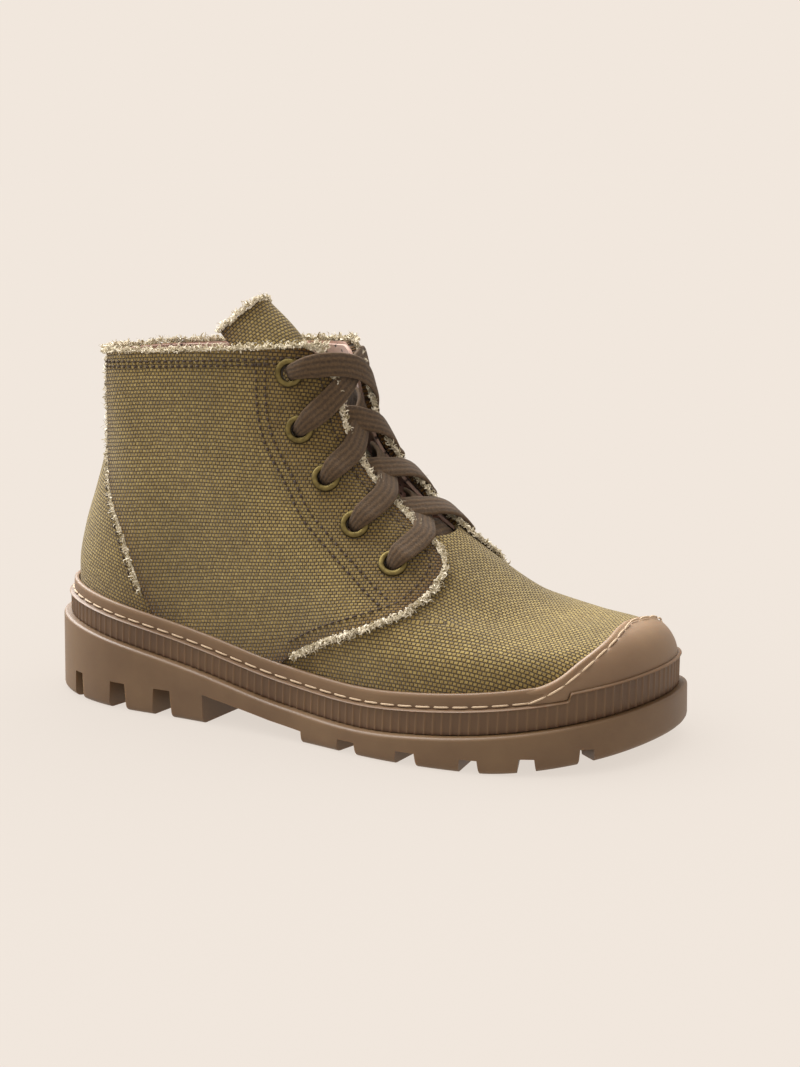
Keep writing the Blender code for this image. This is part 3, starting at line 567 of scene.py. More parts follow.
def on_normal(theta, level, lift):
    """Matrix that puts a piece's +Z on the last's normal, at lift over the pulled canvas."""
    turn = Vector(normal_of(theta, level)).to_track_quat("Z", "Y").to_matrix().to_4x4()
    return Matrix.Translation(Vector(on_cloth(theta, level, lift)) + Vector(MIDDLE_LINE)) @ turn


def cut_out(obj, mesh):
    """Cut the shapes of a closed mesh out of a piece, as an exact Boolean."""
    tool = bpy.data.objects.new("cutter", mesh)
    bpy.context.scene.collection.objects.link(tool)
    cut = obj.modifiers.new("cut", "BOOLEAN")
    cut.object = tool
    cut.solver = "EXACT"
    bpy.context.view_layer.update()
    done = bpy.data.meshes.new_from_object(obj.evaluated_get(bpy.context.evaluated_depsgraph_get()))
    obj.modifiers.clear()
    obj.data = done
    bpy.data.objects.remove(tool)


def punch(obj, side):
    """Cut the five eyelet holes of one side through a piece."""
    bm = bmesh.new()
    for row, spread in EYELET_ROWS:
        angle = eyelet_angle(side, row, spread)
        bmesh.ops.create_cone(bm, cap_ends=True, segments=32, depth=PUNCH_DEPTH, radius1=EYELET_BORE / 2,
                              radius2=EYELET_BORE / 2, matrix=on_normal(angle, row, 0.0))
    mesh = bpy.data.meshes.new("punch")
    bm.to_mesh(mesh)
    bm.free()
    cut_out(obj, mesh)


for side_name, side in SIDES:
    level = np.linspace(UPPER_FOOT, 1.0, QUARTER_STEPS[0])[:, None]
    front, rear = front_edge(level), rear_edge(level)
    theta = side * (front + (rear - front) * np.linspace(0, 1, QUARTER_STEPS[1]))
    level = np.broadcast_to(level, theta.shape)
    near_edge = np.minimum(np.abs(theta) - front, rear - np.abs(theta))
    # The facing share makes the band from the stitch rows to the throat edge darker and browner, by a
    # further 0.30.
    facing = 1 / (1 + np.exp((np.abs(theta) - radians(FACING_ANGLE)) / radians(FACING_FADE)))
    wear = (worn_cloth(level, near_edge, at_foot=0.5, at_edge=0.6, reach=4)
            + 0.35 * np.exp(-(1 - level) / COLLAR_WEAR) + 0.30 * facing + 0.12)
    quarter = cloth_piece("quarter_" + side_name, theta, level, QUARTER_STEP, QUARTER_WALL,
                          side * pi / 2, CANVAS_FINISHES, wear, side * radians(QUARTER_GRAIN))
    punch(quarter, side)


# Lining
# A second wall of punched, brushed cloth inside the quarters and the heel, sewn to the canvas
# at the collar. It shows inside the collar and behind the facings.
LINING_OUT = -0.0012
LINING_WALL = 0.0009
LINING_INSET = 1.2
LINING_TOP = 0.995
LINING_STEPS = (95, 180)

level = np.linspace(UPPER_FOOT, LINING_TOP, LINING_STEPS[0])[:, None]
front = front_edge(level) + radians(LINING_INSET)
theta = pi + (pi - front) * np.linspace(-1, 1, LINING_STEPS[1])
level = np.broadcast_to(level, theta.shape)
lining = cloth_piece("lining", theta, level, LINING_OUT, LINING_WALL, pi, [LINING_FINISH] * 3, 0 * theta)
for _, side in SIDES:
    punch(lining, side)


# Tongue
# A tongue of the same canvas with the lining behind it, sewn in at the foot of the throat.
# It curls round the instep, and its raw tip leans back out of the collar.
TONGUE = (
    # along, up, width, curl
    (0.690, 0.399, 0.30, 0.15),
    (0.615, 0.513, 0.36, 0.20),
    (0.545, 0.640, 0.44, 0.25),
    (0.493, 0.768, 0.47, 0.29),
    (0.452, 0.899, 0.45, 0.32),
    (0.410, 0.996, 0.38, 0.34),
    (0.362, 1.071, 0.31, 0.36),
)
TONGUE_WALL = 0.0017
TONGUE_STEPS = (110, 70)
TONGUE_ROUNDING = 2.2


def side_point(along, up):
    """Place in the side view from shares of the last's length and the collar's rise."""
    x = (along - 0.5) * LAST_LENGTH
    return x, ledge_height(x) + up * COLLAR_RISE


def tongue_sheet(shares, across):
    """Points of the tongue: up its middle line by share, and across it along a power curve."""
    table = np.array(TONGUE)
    fine = np.linspace(0, 1, 200)
    rows = smooth(np.linspace(0, 1, len(table)), table, fine)
    middle = np.stack(side_point(rows[:, 0], rows[:, 1]), axis=1)
    slope = unit(np.gradient(middle, axis=0))
    x, z, nx, nz, half, curl = (np.interp(shares, fine, column) for column in
                                (*middle.T, slope[:, 1], -slope[:, 0], rows[:, 2], rows[:, 3]))
    fall = curl * LAST_HALF_WIDTH * np.abs(across)**TONGUE_ROUNDING
    return np.stack([x - nx * fall, half * LAST_HALF_WIDTH * across, z - nz * fall], axis=-1)


share, across = np.meshgrid(np.linspace(0, 1, TONGUE_STEPS[0]), np.linspace(-1, 1, TONGUE_STEPS[1]),
                            indexing="ij")
sheet = tongue_sheet(share, across)
normal = unit(np.cross(np.gradient(sheet, axis=1), np.gradient(sheet, axis=0)))
waves = 0.0005 * np.sin(9 * share + 2.5 * across) * np.sin(4 * across + 1)
outer = sheet + normal * waves[..., None]
points, faces, kinds = slab(outer, outer - normal * TONGUE_WALL)
width = run_length(sheet, axis=1)
width = width - width[:, TONGUE_STEPS[1] // 2, None]
places = np.stack([width, run_length(sheet)], axis=-1).reshape(-1, 2) * 1000
wear = np.clip(0.6 * np.exp(-(1 - np.abs(across)) / 0.12) + 0.5 * np.exp(-(1 - share) / 0.05), 0, 1)
add_piece("tongue_sheet", points, faces, CANVAS_FINISHES, "tongue_canvas", ["tongue"], kinds,
          np.concatenate([places, places]), wear=np.tile(wear.ravel(), 2))


# Seams
# Rows of machine stitches in dark brown thread: two under the collar, two down each facing,
# one along every raw edge. Painted near black as shade of the dents it sits in, it shows as dark dashes.
COLLAR_ROWS = (0.0030, 0.0046)
COLLAR_RUNS = (
    # from and to angle, lift
    (30, 141, QUARTER_STEP),
    (142, 218, 0.0),
    (219, 330, QUARTER_STEP),
)
FACING_ROW = (
    # angle, level
    (60.4, 0.980),
    (64.0, 0.820),
    (65.6, 0.695),
    (68.4, 0.573),
    (66.4, 0.500),
    (64.3, 0.447),
    (62.2, 0.355),
)
FACING_ROWS_APART = 0.0030
EDGE_ROW = 0.0038


def thread(name, dark, light):
    """Spun polyester thread: two plies that shade along the stitch, with a low gloss."""
    mat, tree, shader = new_finish(name)
    place = node(tree, "TexCoord", {}, {})
    plies = node(tree, "TexNoise", {}, {"Vector": place.outputs["Object"], "Scale": 2600.0, "Detail": 2.0})
    colour = node(tree, "Mix", {"data_type": "RGBA"},
                  {0: plies.outputs[0], 6: linear(dark), 7: linear(light)})
    bump = node(tree, "Bump", {}, {"Strength": 0.5, "Distance": 0.0001, "Height": plies.outputs[0]})
    feed(tree, shader, {"Base Color": colour.outputs[2], "Normal": bump.outputs[0], "Roughness": 0.65})
    return mat


def on_last(knots, lift, side):
    """Path through knots of angle and level on the last, with its normals."""
    knots = np.array(knots, float)
    share = run_length(knots * (1, 100))
    fine = smooth(share, knots, np.linspace(0, share[-1], 500))
    theta = side * np.radians(fine[:, 0])
    return on_cloth(theta, fine[:, 1], lift), normal_of(theta, fine[:, 1])


def edge_path(edge, lift, side):
    """Path and normals along a piece's edge that is given by level and angle."""
    return on_last([(angle, row) for row, angle in edge], lift, side)


def aside(path, normal, distance):
    """A path beside another on the cloth, to the left of its run."""
    return path + np.cross(normal, unit(np.gradient(path, axis=0))) * distance


def collar_path(below, lift, start, end):
    """Path round the collar, this far below its edge, from one angle to another."""
    theta = np.radians(np.linspace(start, end, 700))
    top = last_point(theta, 1.0)
    reach = np.linalg.norm(top - last_point(theta, 0.97), axis=1) / 0.03
    level = 1 - below / reach
    return on_cloth(theta, level, lift), normal_of(theta, level)


def spaced(path, normal, pitch):
    """Places every pitch along a path, with its run and normal there."""
    length = run_length(path)
    at = np.arange(pitch / 2, length[-1], pitch)
    run = unit(np.gradient(path, axis=0))
    return [np.stack([np.interp(at, length, column) for column in field.T], axis=1)
            for field in (path, run, normal)]


def tube_quads(rings, sides, closed=False):
    """Quads between the rings of a tube, and between its last and first where it closes."""
    here = np.arange(rings)[:, None] * sides + np.arange(sides)
    beside = np.roll(here, -1, 1)
    quads = np.stack([here, beside, np.roll(beside, -1, 0), np.roll(here, -1, 0)], axis=-1)
    return (quads if closed else quads[:-1]).reshape(-1, 4)


def tube_faces(count, rings, sides):
    """Quads and end faces of this many tubes, whose points follow each other ring by ring."""
    ends = np.array([np.arange(sides)[::-1], np.arange(sides) + (rings - 1) * sides])
    start = np.arange(count)[:, None, None] * rings * sides
    return (tube_quads(rings, sides) + start).reshape(-1, 4), (ends + start).reshape(-1, sides)


def stitches(rows, pitch, length, thick):
    """Capsules bent into the cloth at both ends, one every pitch along each row."""
    fields = zip(*(spaced(path, normal, pitch) for path, normal in rows))
    centre, run, normal = (np.concatenate(parts) for parts in fields)
    side = unit(np.cross(normal, run))
    s = np.linspace(-1, 1, 7)
    turn = np.arange(6) * pi / 3
    radius = thick / 2 * (1 - 0.55 * s**6)
    rise = thick * (0.25 - 0.75 * s**4)
    line = centre[:, None] + run[:, None] * s[:, None] * length / 2 + normal[:, None] * rise[:, None]
    ring = side[:, None, None] * np.cos(turn)[:, None] + normal[:, None, None] * np.sin(turn)[:, None]
    points = line[:, :, None] + ring * radius[:, None, None]
    return points, tube_faces(len(centre), len(s), len(turn))


# Near-black colours: dark brown thread with painted shade of its stitch holes added.
DARK_THREAD_AND_HOLE_SHADE = thread("brown_thread_and_hole_shade", "#261A0F", "#463421")
rows = [collar_path(below, lift, start, end) for below in COLLAR_ROWS for start, end, lift in COLLAR_RUNS]
for _, side in SIDES:
    path, normal = on_last(FACING_ROW, QUARTER_STEP, side)
    rows += [(path, normal), (aside(path, normal, FACING_ROWS_APART), normal)]
points, faces = stitches(rows, pitch=0.0024, length=0.0015, thick=0.00075)
add_piece("facing_and_collar_stitches", points, faces, [DARK_THREAD_AND_HOLE_SHADE], "canvas")

rows = []
for _, side in SIDES:
    for edge, lift in ((FRONT_EDGE[1:], QUARTER_STEP), (REAR_EDGE[1:-1], 0.0)):
        path, normal = edge_path(edge, lift, side)
        rows.append((aside(path, normal, side * EDGE_ROW), normal))
points, faces = stitches(rows, pitch=0.0027, length=0.0018, thick=0.0006)
add_piece("edge_stitches", points, faces, [DARK_THREAD_AND_HOLE_SHADE], "canvas")


# Fray
# The canvas is cut raw at every edge, and its undyed cream yarns have worked loose there:
# short crimped yarns in clumps, and finer hairs between them.
YARN_PITCH = 0.00013
HAIR_PITCH = 0.00050
FRAY_REACH = 0.0026
FRAY_SEED = 12
FIBRE_STEPS = (7, 3)


def loose_yarn():
    """Cotton yarn that has come undyed out of the cut edge: dry and pale, each yarn a random tone from
    olive-tan to cream.
    """
    mat, tree, shader = new_finish("frayed_yarn")
    tone = node(tree, "Attribute", {"attribute_name": "tone"}, {})
    ramp = node(tree, "Mix", {"data_type": "RGBA"},
                {0: tone.outputs["Fac"], 6: linear("#8A7B52"), 7: linear("#F4ECD8")})
    feed(tree, shader, {"Base Color": ramp.outputs[2], "Roughness": 0.95, "Sheen Weight": 0.15})
    return mat


def fibres(path, normal, away, pitch, length, thick, curl, rng):
    """Tapered threads along an edge: a straight run out of the cloth plus a growing helix."""
    base, run, normal = spaced(path, normal, pitch)
    count = len(base)
    out = unit(np.cross(normal, run)) * away

    def draw(low, high):
        return rng.uniform(low, high, count)[:, None]

    at = np.arange(count)[:, None] * pitch
    clump = 0.6 + 0.4 * np.sin(at * 2600) * np.sin(at * 970)
    start = base + out * draw(-0.0006, FRAY_REACH * 0.65) * clump + normal * draw(-0.0005, 0.0003)
    aim = unit(out * draw(0.1, 1.0) + run * rng.normal(0, 0.9, count)[:, None] + normal * draw(-0.3, 0.6))
    side = unit(np.cross(aim, rng.normal(0, 1, (count, 3))))
    up = np.cross(side, aim)
    size = length * draw(0.5, 1.2)
    s = np.linspace(0, 1, FIBRE_STEPS[0])
    swing = s * draw(2.0, 8.0) + draw(0.0, 6.3)
    helix = side[:, None] * np.cos(swing)[..., None] + up[:, None] * np.sin(swing)[..., None]
    line = start[:, None] + size[:, None] * (aim[:, None] * s[:, None] + helix * (curl * s**0.7)[:, None])
    turn = np.arange(FIBRE_STEPS[1]) * 2 * pi / FIBRE_STEPS[1]
    ring = side[:, None, None] * np.cos(turn)[:, None] + up[:, None, None] * np.sin(turn)[:, None]
    radius = thick / 2 * draw(0.6, 1.3) * (1 - 0.6 * s**3)
    points = line[:, :, None] + ring * radius[:, :, None, None]
    return points, np.repeat(rng.beta(2.0, 1.5, count), len(s) * len(turn))


def fray(name, edges, slot, seed):
    """One piece of loose yarns and hairs along all these edges."""
    rng = np.random.default_rng(seed)
    bundles = []
    for edge in edges:
        bundles.append(fibres(*edge, YARN_PITCH, length=0.0019, thick=0.00058, curl=0.30, rng=rng))
        bundles.append(fibres(*edge, HAIR_PITCH, length=0.0026, thick=0.00016, curl=0.22, rng=rng))
    points, tone = (np.concatenate(parts) for parts in zip(*bundles))
    add_piece(name, points, tube_faces(len(points), *FIBRE_STEPS), [FRAY_FINISH], slot, tone=tone)


FRAY_FINISH = loose_yarn()
edges = [(*collar_path(0.0003, QUARTER_STEP / 2, 22, 338), -1)]
fray("fray_collar", edges, "canvas", FRAY_SEED)
edges = [(*edge_path(FRONT_EDGE[1:], QUARTER_STEP, side), -side) for _, side in SIDES]
fray("fray_front_edges", edges, "canvas", FRAY_SEED + 1)
edges = [(*edge_path(REAR_EDGE[1:], QUARTER_STEP / 2, side), side) for _, side in SIDES]
fray("fray_rear_edges", edges, "canvas", FRAY_SEED + 2)
across = np.linspace(-1, 1, 300)
tip = tongue_sheet(np.full(300, 0.998), across)
tip_normal = unit(np.cross(np.gradient(tip, axis=0), tip - tongue_sheet(np.full(300, 0.96), across)))
fray("fray_tongue", [(tip, tip_normal, 1)], "tongue_canvas", FRAY_SEED + 3)


# Eyelets
# Ten brass eyelets, turned over at both faces of the facing and blackened, so that the
# rolled rim is worn back to brass where the lace rubs it.
EYELET_RIM = 0.0009
RING_STEPS = 48


def aged_brass():
    """Stamped brass with a dark olive patina: brighter on the worn high rim, half rough."""
    mat, tree, shader = new_finish("aged_brass")
    place = node(tree, "TexCoord", {}, {})
    cloud = node(tree, "TexNoise", {}, {"Vector": place.outputs["Object"], "Scale": 700.0, "Detail": 4.0})
    worn = node(tree, "Attribute", {"attribute_name": "rim"}, {})
    share = node(tree, "Math", {"operation": "MULTIPLY"}, {0: worn.outputs["Fac"], 1: cloud.outputs[0]})
    bright = node(tree, "MapRange", {}, {0: share.outputs[0], 1: 0.2, 2: 0.6})
    colour = node(tree, "Mix", {"data_type": "RGBA"},
                  {0: bright.outputs[0], 6: linear("#4C4229"), 7: linear("#7C6E44")})
    rough = node(tree, "MapRange", {}, {0: cloud.outputs[0], 1: 0.3, 2: 0.7, 3: 0.40, 4: 0.60})
    feed(tree, shader, {"Base Color": colour.outputs[2], "Roughness": rough.outputs[0], "Metallic": 1.0})
    return mat


BRASS_FINISH = aged_brass()
turn = np.linspace(0, 2 * pi, RING_STEPS, endpoint=False)
bore, flange = EYELET_BORE / 2, EYELET_OUTER / 2
arc = np.linspace(0, pi, 11)
rim_middle, rim_half = (bore + flange) / 2, (flange - bore) / 2
rolled = QUARTER_STEP + 0.0001 + EYELET_RIM * np.sin(arc)**0.6
barrel = [(bore, -0.0012), (bore, -0.0026), (bore + 0.0009, -0.0030), (bore + 0.0009, -0.0026),
          (bore + 0.0003, -0.0022), (bore + 0.0003, 0.0008)]
profile = np.concatenate([np.stack([rim_middle + rim_half * np.cos(arc), rolled], axis=1), barrel])
rim = np.concatenate([np.sin(arc), np.zeros(len(barrel))])
ring = np.stack([np.outer(np.cos(turn), profile[:, 0]), np.outer(np.sin(turn), profile[:, 0]),
                 np.broadcast_to(profile[:, 1], (RING_STEPS, len(profile)))], axis=-1)
quads = tube_quads(RING_STEPS, len(profile), closed=True)[:, (0, 3, 2, 1)]
for side_name, side in SIDES:
    for number, (row, spread) in enumerate(EYELET_ROWS, 1):
        place = np.array(on_normal(eyelet_angle(side, row, spread), row, 0.0))
        points = ring.reshape(-1, 3) @ place[:3, :3].T + place[:3, 3] - MIDDLE_LINE
        add_piece(f"ring_{side_name}_{number}", points, quads, [BRASS_FINISH], "eyelet_brass",
                  [f"eyelet_{side_name}_{number}"], rim=np.tile(rim, RING_STEPS))


# Lace
# One flat lace of fuzzy dark cotton, 7 mm wide. Its middle runs as a bar inside the lowest
# eyelets; each end comes out of an eyelet, crosses the throat, dives under the far facing
# and comes out of the next eyelet there. Both ends stop inside the top eyelets.
LACE_WIDTH = 0.0074
LACE_THICKNESS = 0.0017
THROAT_FOOT = (0.676, 0.432)
THROAT_HEAD = (0.468, 0.998)
THROAT_HALF = 0.0100
UNDER_FACING = -0.0034
OVER_FACING = 0.0025
OVER_RING = 0.0032
LACE_PASS = 0.0010
LACE_STEP = 0.0005
LACE_SIDES = 18
LACE_BEND = {True: (0.40, 0.655, 0.91), False: (0.25, 0.735, 1.18)}
LACE_BAR = (
    # share from the middle to the eyelet, lift, place up the throat
    (0.10, -0.0020, 0.0048),
    (0.30, -0.0036, 0.0042),
    (0.43, -0.0040, 0.0016),
)
OUT_OF_EYELET = (
    # along the lace's run, lift, width, thickness
    (-0.0004, -0.0008, 0.0044, 0.0028),
    (0.0006, 0.0018, 0.0052, 0.0026),
    (0.0022, OVER_RING + 0.0002, 0.0068, 0.0021),
    (0.0044, OVER_RING - 0.0003, LACE_WIDTH, LACE_THICKNESS),
)
INTO_EYELET = (
    (-0.0055, OVER_RING - 0.0002, LACE_WIDTH, LACE_THICKNESS),
    (-0.0022, OVER_RING + 0.0003, 0.0062, 0.0020),
    (-0.0004, 0.0014, 0.0048, 0.0026),
    (0.0, -0.0018, 0.0044, 0.0028),
    (0.0, -0.0040, 0.0044, 0.0028),
)


def woven_lace():
    """Flat tubular cotton braid: a few lengthwise ribs, a chevron of fine plies, dry and fuzzy."""
    mat, tree, shader = new_finish("braided_cotton")
    place = node(tree, "UVMap", {"uv_map": "cloth"}, {})
    split = node(tree, "SeparateXYZ", {}, {0: place.outputs[0]})
    turns = node(tree, "Math", {"operation": "MULTIPLY"}, {0: split.outputs[0], 1: 3.6})
    ribs = node(tree, "Math", {"operation": "COSINE"}, {0: turns.outputs[0]})
    plies = node(tree, "TexNoise", {}, {"Vector": place.outputs[0], "Scale": 1.1, "Detail": 3.0})
    fuzz = node(tree, "TexNoise", {}, {"Vector": place.outputs[0], "Scale": 3.4, "Detail": 4.0,
                                       "Roughness": 0.7})
    height = node(tree, "Math", {"operation": "MULTIPLY_ADD"},
                  {0: ribs.outputs[0], 1: 0.18, 2: plies.outputs[0]})
    height = node(tree, "Math", {"operation": "MULTIPLY_ADD"},
                  {0: fuzz.outputs[0], 1: 1.2, 2: height.outputs[0]})
    # The colour follows the relief: darker in its low places, as painted shade in the braid's hollows, over
    # a random mottle.
    shade = node(tree, "MapRange", {}, {0: height.outputs[0], 1: 0.6, 2: 1.6})
    colour = node(tree, "Mix", {"data_type": "RGBA"},
                  {0: shade.outputs[0], 6: linear("#281D12"), 7: linear("#664F35")})
    bump = node(tree, "Bump", {}, {"Strength": 0.7, "Distance": 0.0004, "Height": height.outputs[0]})
    feed(tree, shader, {"Base Color": colour.outputs[2], "Normal": bump.outputs[0],
                        "Roughness": 0.9, "Sheen Weight": 0.05})
    return mat


def throat_view(theta, level):
    """Places on the last seen square on to the throat: up along it, and across it."""
    line = unit(np.array(side_point(*THROAT_HEAD)) - np.array(side_point(*THROAT_FOOT)))
    p = last_point(theta, level)
    return np.stack([p[..., 0] * line[0] + p[..., 2] * line[1], p[..., 1]], axis=-1)


def seen_at(goal):
    """Angle and level of a place in the throat's view, by Newton's steps."""
    theta = np.array(-goal[1] / (EYELET_SPREAD / 2) * radians(EYELET_ANGLE))
    level = np.array(EYELET_ROWS[2][0])
    d = 1e-4
    for _ in range(30):
        miss = goal - throat_view(theta, level)
        by_theta = (throat_view(theta + d, level) - throat_view(theta - d, level)) / (2 * d)
        by_level = (throat_view(theta, level) - throat_view(theta, level - d)) / d
        step = np.linalg.solve(np.stack([by_theta, by_level], axis=-1), miss)
        theta = theta + step[0]
        level = np.clip(level + step[1], 0.3, 1.0)
    return theta, level


def lace_key(place, lift, run, width=LACE_WIDTH, thick=LACE_THICKNESS):
    """One knot of the lace: its point, the direction across it, and how squeezed it is."""
    theta, level = seen_at(place)
    normal = normal_of(theta, level)
    ahead = surface(*seen_at(place + unit(run) * 0.002), 0.0) - surface(theta, level, 0.0)
    return (*surface(theta, level, lift), *unit(np.cross(normal, ahead)), width, thick)


def lace_end(side):
    """Knots of one half of the lace, from the bar's middle up to its top eyelet."""
    own, other = ([throat_view(eyelet_angle(s, row, spread), row) for row, spread in EYELET_ROWS]
                  for s in (side, -side))
    rows = len(EYELET_ROWS)
    run = own[0] - other[0]
    keys = [lace_key((own[0] + other[0]) / 2 + run * share + (rise, 0), lift, run)
            for share, lift, rise in LACE_BAR]
    for row in range(rows - 1):
        here = own[row]
        passing = LACE_PASS if here[1] > 0 else -LACE_PASS
        goal = other[row + 1]
        run = goal - here
        edge = abs((np.copysign(THROAT_HALF, here[1]) - here[1]) / run[1])
        far = abs((-np.copysign(THROAT_HALF, here[1]) - here[1]) / run[1])
        bends = [here + run * share for share in (edge, (edge + far) / 2, far)]
        if row < rows - 2:
            pitch = own[row + 1][0] - here[0]
            bends = [np.array((here[0] + pitch * share, np.sign(here[1]) * half)) for share, half in
                     zip(LACE_BEND[bool(here[1] > 0)], (THROAT_HALF, 0.0, -THROAT_HALF))]
            run = bends[0] - here
        keys += [lace_key(here + unit(run) * along, lift, run, width, thick)
                 for along, lift, width, thick in OUT_OF_EYELET]
        ahead, beyond = bends[1] - bends[0], bends[2] - bends[1]
        keys += [lace_key(bends[0], OVER_FACING + passing * 0.4, run + ahead),
                 lace_key((bends[0] + bends[1]) / 2, 0.0014 + passing, ahead)]
        if row == rows - 2:
            keys += [lace_key(bends[1], 0.0008 + passing * 1.4, beyond),
                     lace_key(bends[2], OVER_FACING + passing * 0.6, beyond)]
            keys += [lace_key(goal + unit(run) * along, lift, run, width, thick)
                     for along, lift, width, thick in INTO_EYELET]
        else:
            turn = goal - bends[2]
            keys += [lace_key(bends[1], passing, ahead + beyond),
                     lace_key((bends[1] + bends[2]) / 2, -0.0010 + passing * 0.6, beyond),
                     lace_key(bends[2], UNDER_FACING, beyond),
                     lace_key(bends[2] + turn * 0.4, UNDER_FACING - 0.0004, beyond + turn),
                     lace_key(goal - unit(turn) * 0.0020, UNDER_FACING - 0.0008, turn, 0.0060, 0.0022)]
        own, other = other, own
    return keys


keys = np.array(lace_end(1)[::-1] + lace_end(-1))
for i in range(1, len(keys)):
    if np.dot(keys[i, 3:6], keys[i - 1, 3:6]) < 0:
        keys[i, 3:6] *= -1
knots = run_length(keys[:, :3])
fine = smooth(knots, keys, np.arange(0, knots[-1], LACE_STEP))
line, across = fine[:, :3], fine[:, 3:6]
run = unit(np.gradient(line, axis=0))
across = unit(across - run * np.sum(across * run, axis=1, keepdims=True))
up = np.cross(across, run)
turn = np.arange(LACE_SIDES) * 2 * pi / LACE_SIDES
wide = np.sign(np.cos(turn)) * np.abs(np.cos(turn))**0.55
tall = np.sign(np.sin(turn)) * np.abs(np.sin(turn))**0.80
points = (line[:, None] + across[:, None] * (wide[:, None] * fine[:, None, 6:7] / 2)
          + up[:, None] * (tall[:, None] * fine[:, None, 7:8] / 2))
rings = len(points)
places = np.stack([np.broadcast_to(wide * LACE_WIDTH / 2, (rings, LACE_SIDES)),
                   np.broadcast_to(np.arange(rings)[:, None] * LACE_STEP, (rings, LACE_SIDES))], axis=-1)
add_piece("lace", points, tube_faces(1, rings, LACE_SIDES), [woven_lace()], "lace_cotton",
          ["lace_bar"] + [f"lace_crossing_{i}" for i in range(1, 5)], places=places * 1000)


# Sidewall
# A strip of gum rubber wrapped round the canvas and vulcanised to the sole: its lower part
# is ribbed, and its smooth upper lip is sewn through with pale thread.
RIB_PITCH = 0.0028
RIB_HEIGHT = 0.00030
BAND_LEVEL = 0.058
TOE_BAND_LEVEL = 0.075
LIP_LEVEL = 0.100
LIP = 0.0015
TOE_STEP_ANGLE = 31.0
TOE_STEP_FADE = 0.12
RIB_SAMPLES = 10
BAND_EDGE = (
    # share of the band's height, how far it stands out
    (0.955, 0.00065),
    (0.975, 0.0008),
    (1.0, 0.0007),
    (1.02, 0.0002),
)
LIP_FACE = (
    # share of the lip's height, how far it stands out
    (0.05, 0.0),
    (0.3, 0.0),
    (0.7, 0.0),
    (0.9, -0.0001),
    (0.97, -0.0004),
    (1.0, -0.0009),
)


def gum_rubber(name, low, high, edge):
    """Moulded gum rubber: mauve-brown, matt with a faint bloom, lighter and warmer at thinned edges and at
    painted highlights, darker where shade is painted.
    """
    mat, tree, shader = new_finish(name)
    place = node(tree, "TexCoord", {}, {})
    cloud = node(tree, "TexNoise", {}, {"Vector": place.outputs["Object"], "Scale": 35.0, "Detail": 5.0,
                                        "Roughness": 0.6})
    dust = node(tree, "TexNoise", {}, {"Vector": place.outputs["Object"], "Scale": 900.0, "Detail": 3.0})
    # This share lightens the rubber at thinned edges, and on the rib crests as a painted highlight.
    thin = node(tree, "Attribute", {"attribute_name": "thin"}, {})
    base = node(tree, "MapRange", {}, {0: cloud.outputs[0], 1: 0.35, 2: 0.65})
    tone = node(tree, "Mix", {"data_type": "RGBA"}, {0: base.outputs[0], 6: linear(low), 7: linear(high)})
    edged = node(tree, "Mix", {"data_type": "RGBA"},
                 {0: thin.outputs["Fac"], 6: tone.outputs[2], 7: linear(edge)})
    # This share darkens the rubber a little all over, and most between the ribs and at the feet of the band
    # and the lip, as painted shade.
    deep = node(tree, "Attribute", {"attribute_name": "deep"}, {})
    colour = node(tree, "Mix", {"data_type": "RGBA", "blend_type": "MULTIPLY"},
                  {0: deep.outputs["Fac"], 6: edged.outputs[2], 7: linear("#B49C88")})
    rough = node(tree, "MapRange", {}, {0: cloud.outputs[0], 1: 0.3, 2: 0.7, 3: 0.42, 4: 0.58})
    bump = node(tree, "Bump", {}, {"Strength": 0.12, "Distance": 0.0002, "Height": dust.outputs[0]})
    feed(tree, shader, {"Base Color": colour.outputs[2], "Roughness": rough.outputs[0],
                        "Normal": bump.outputs[0], "Subsurface Weight": 0.12,
                        "Subsurface Radius": (0.004, 0.002, 0.001), "Subsurface Scale": 1.0})
    return mat


def flat_loop(theta, offset):
    """The feather edge seen from above, moved outwards by offset."""
    d = 1e-4
    p = last_point(theta, 0.0)
    along = last_point(theta + d, 0.0) - last_point(theta - d, 0.0)
    out = unit(np.stack([-along[:, 1], along[:, 0]], axis=-1))
    return p[:, :2] + out * np.reshape(offset, (-1, 1))


def on_ledge(theta, offset, rise):
    """Loop round the feather edge, moved outwards by offset, at a rise over the ledge."""
    flat = flat_loop(theta, offset)
    return np.column_stack([flat, ledge_height(flat[:, 0]) + rise])


def toe_share(theta):
    """One round the toe, none behind the step where the cap takes the lip's place."""
    turn = np.degrees(np.abs((theta + pi) % (2 * pi) - pi))
    return 1 / (1 + np.exp((turn - TOE_STEP_ANGLE) / TOE_STEP_FADE))


RUBBER_FINISH = gum_rubber("gum_rubber", "#5E462D", "#6D553A", "#86694A")
fine = np.linspace(0, 2 * pi, 6001)
edge = flat_loop(fine, RUBBER + GAP)
length = run_length(edge)
count = round(length[-1] / RIB_PITCH) * RIB_SAMPLES
at = np.arange(count) / count * length[-1]
theta = np.interp(at, length, fine)
phase = np.arange(count) % RIB_SAMPLES / RIB_SAMPLES
raised = RIB_HEIGHT * np.clip(np.cos(2 * pi * phase), 0, 1)**3
toe = toe_share(theta)
band = BAND_LEVEL + (TOE_BAND_LEVEL - BAND_LEVEL) * toe
lip = LIP_LEVEL + (TOE_BAND_LEVEL - LIP_LEVEL) * toe + 0.004 * toe
face = GAP + RUBBER
rings, thin, deep = [], [], []
for share in np.linspace(0, 1, 8):
    foot = on_ledge(theta, face + raised, GAP)
    top = surface(theta, band * 0.94, face + raised)
    rings.append(foot + (top - foot) * share)
    # Rib crests are painted lighter, as a painted highlight, and the hollows between them darker, as
    # painted shade; the band's foot is darkest.
    thin.append(0.18 * raised / RIB_HEIGHT)
    deep.append(0.50 + 0.5 * (share == 0) - 0.30 * raised / RIB_HEIGHT)
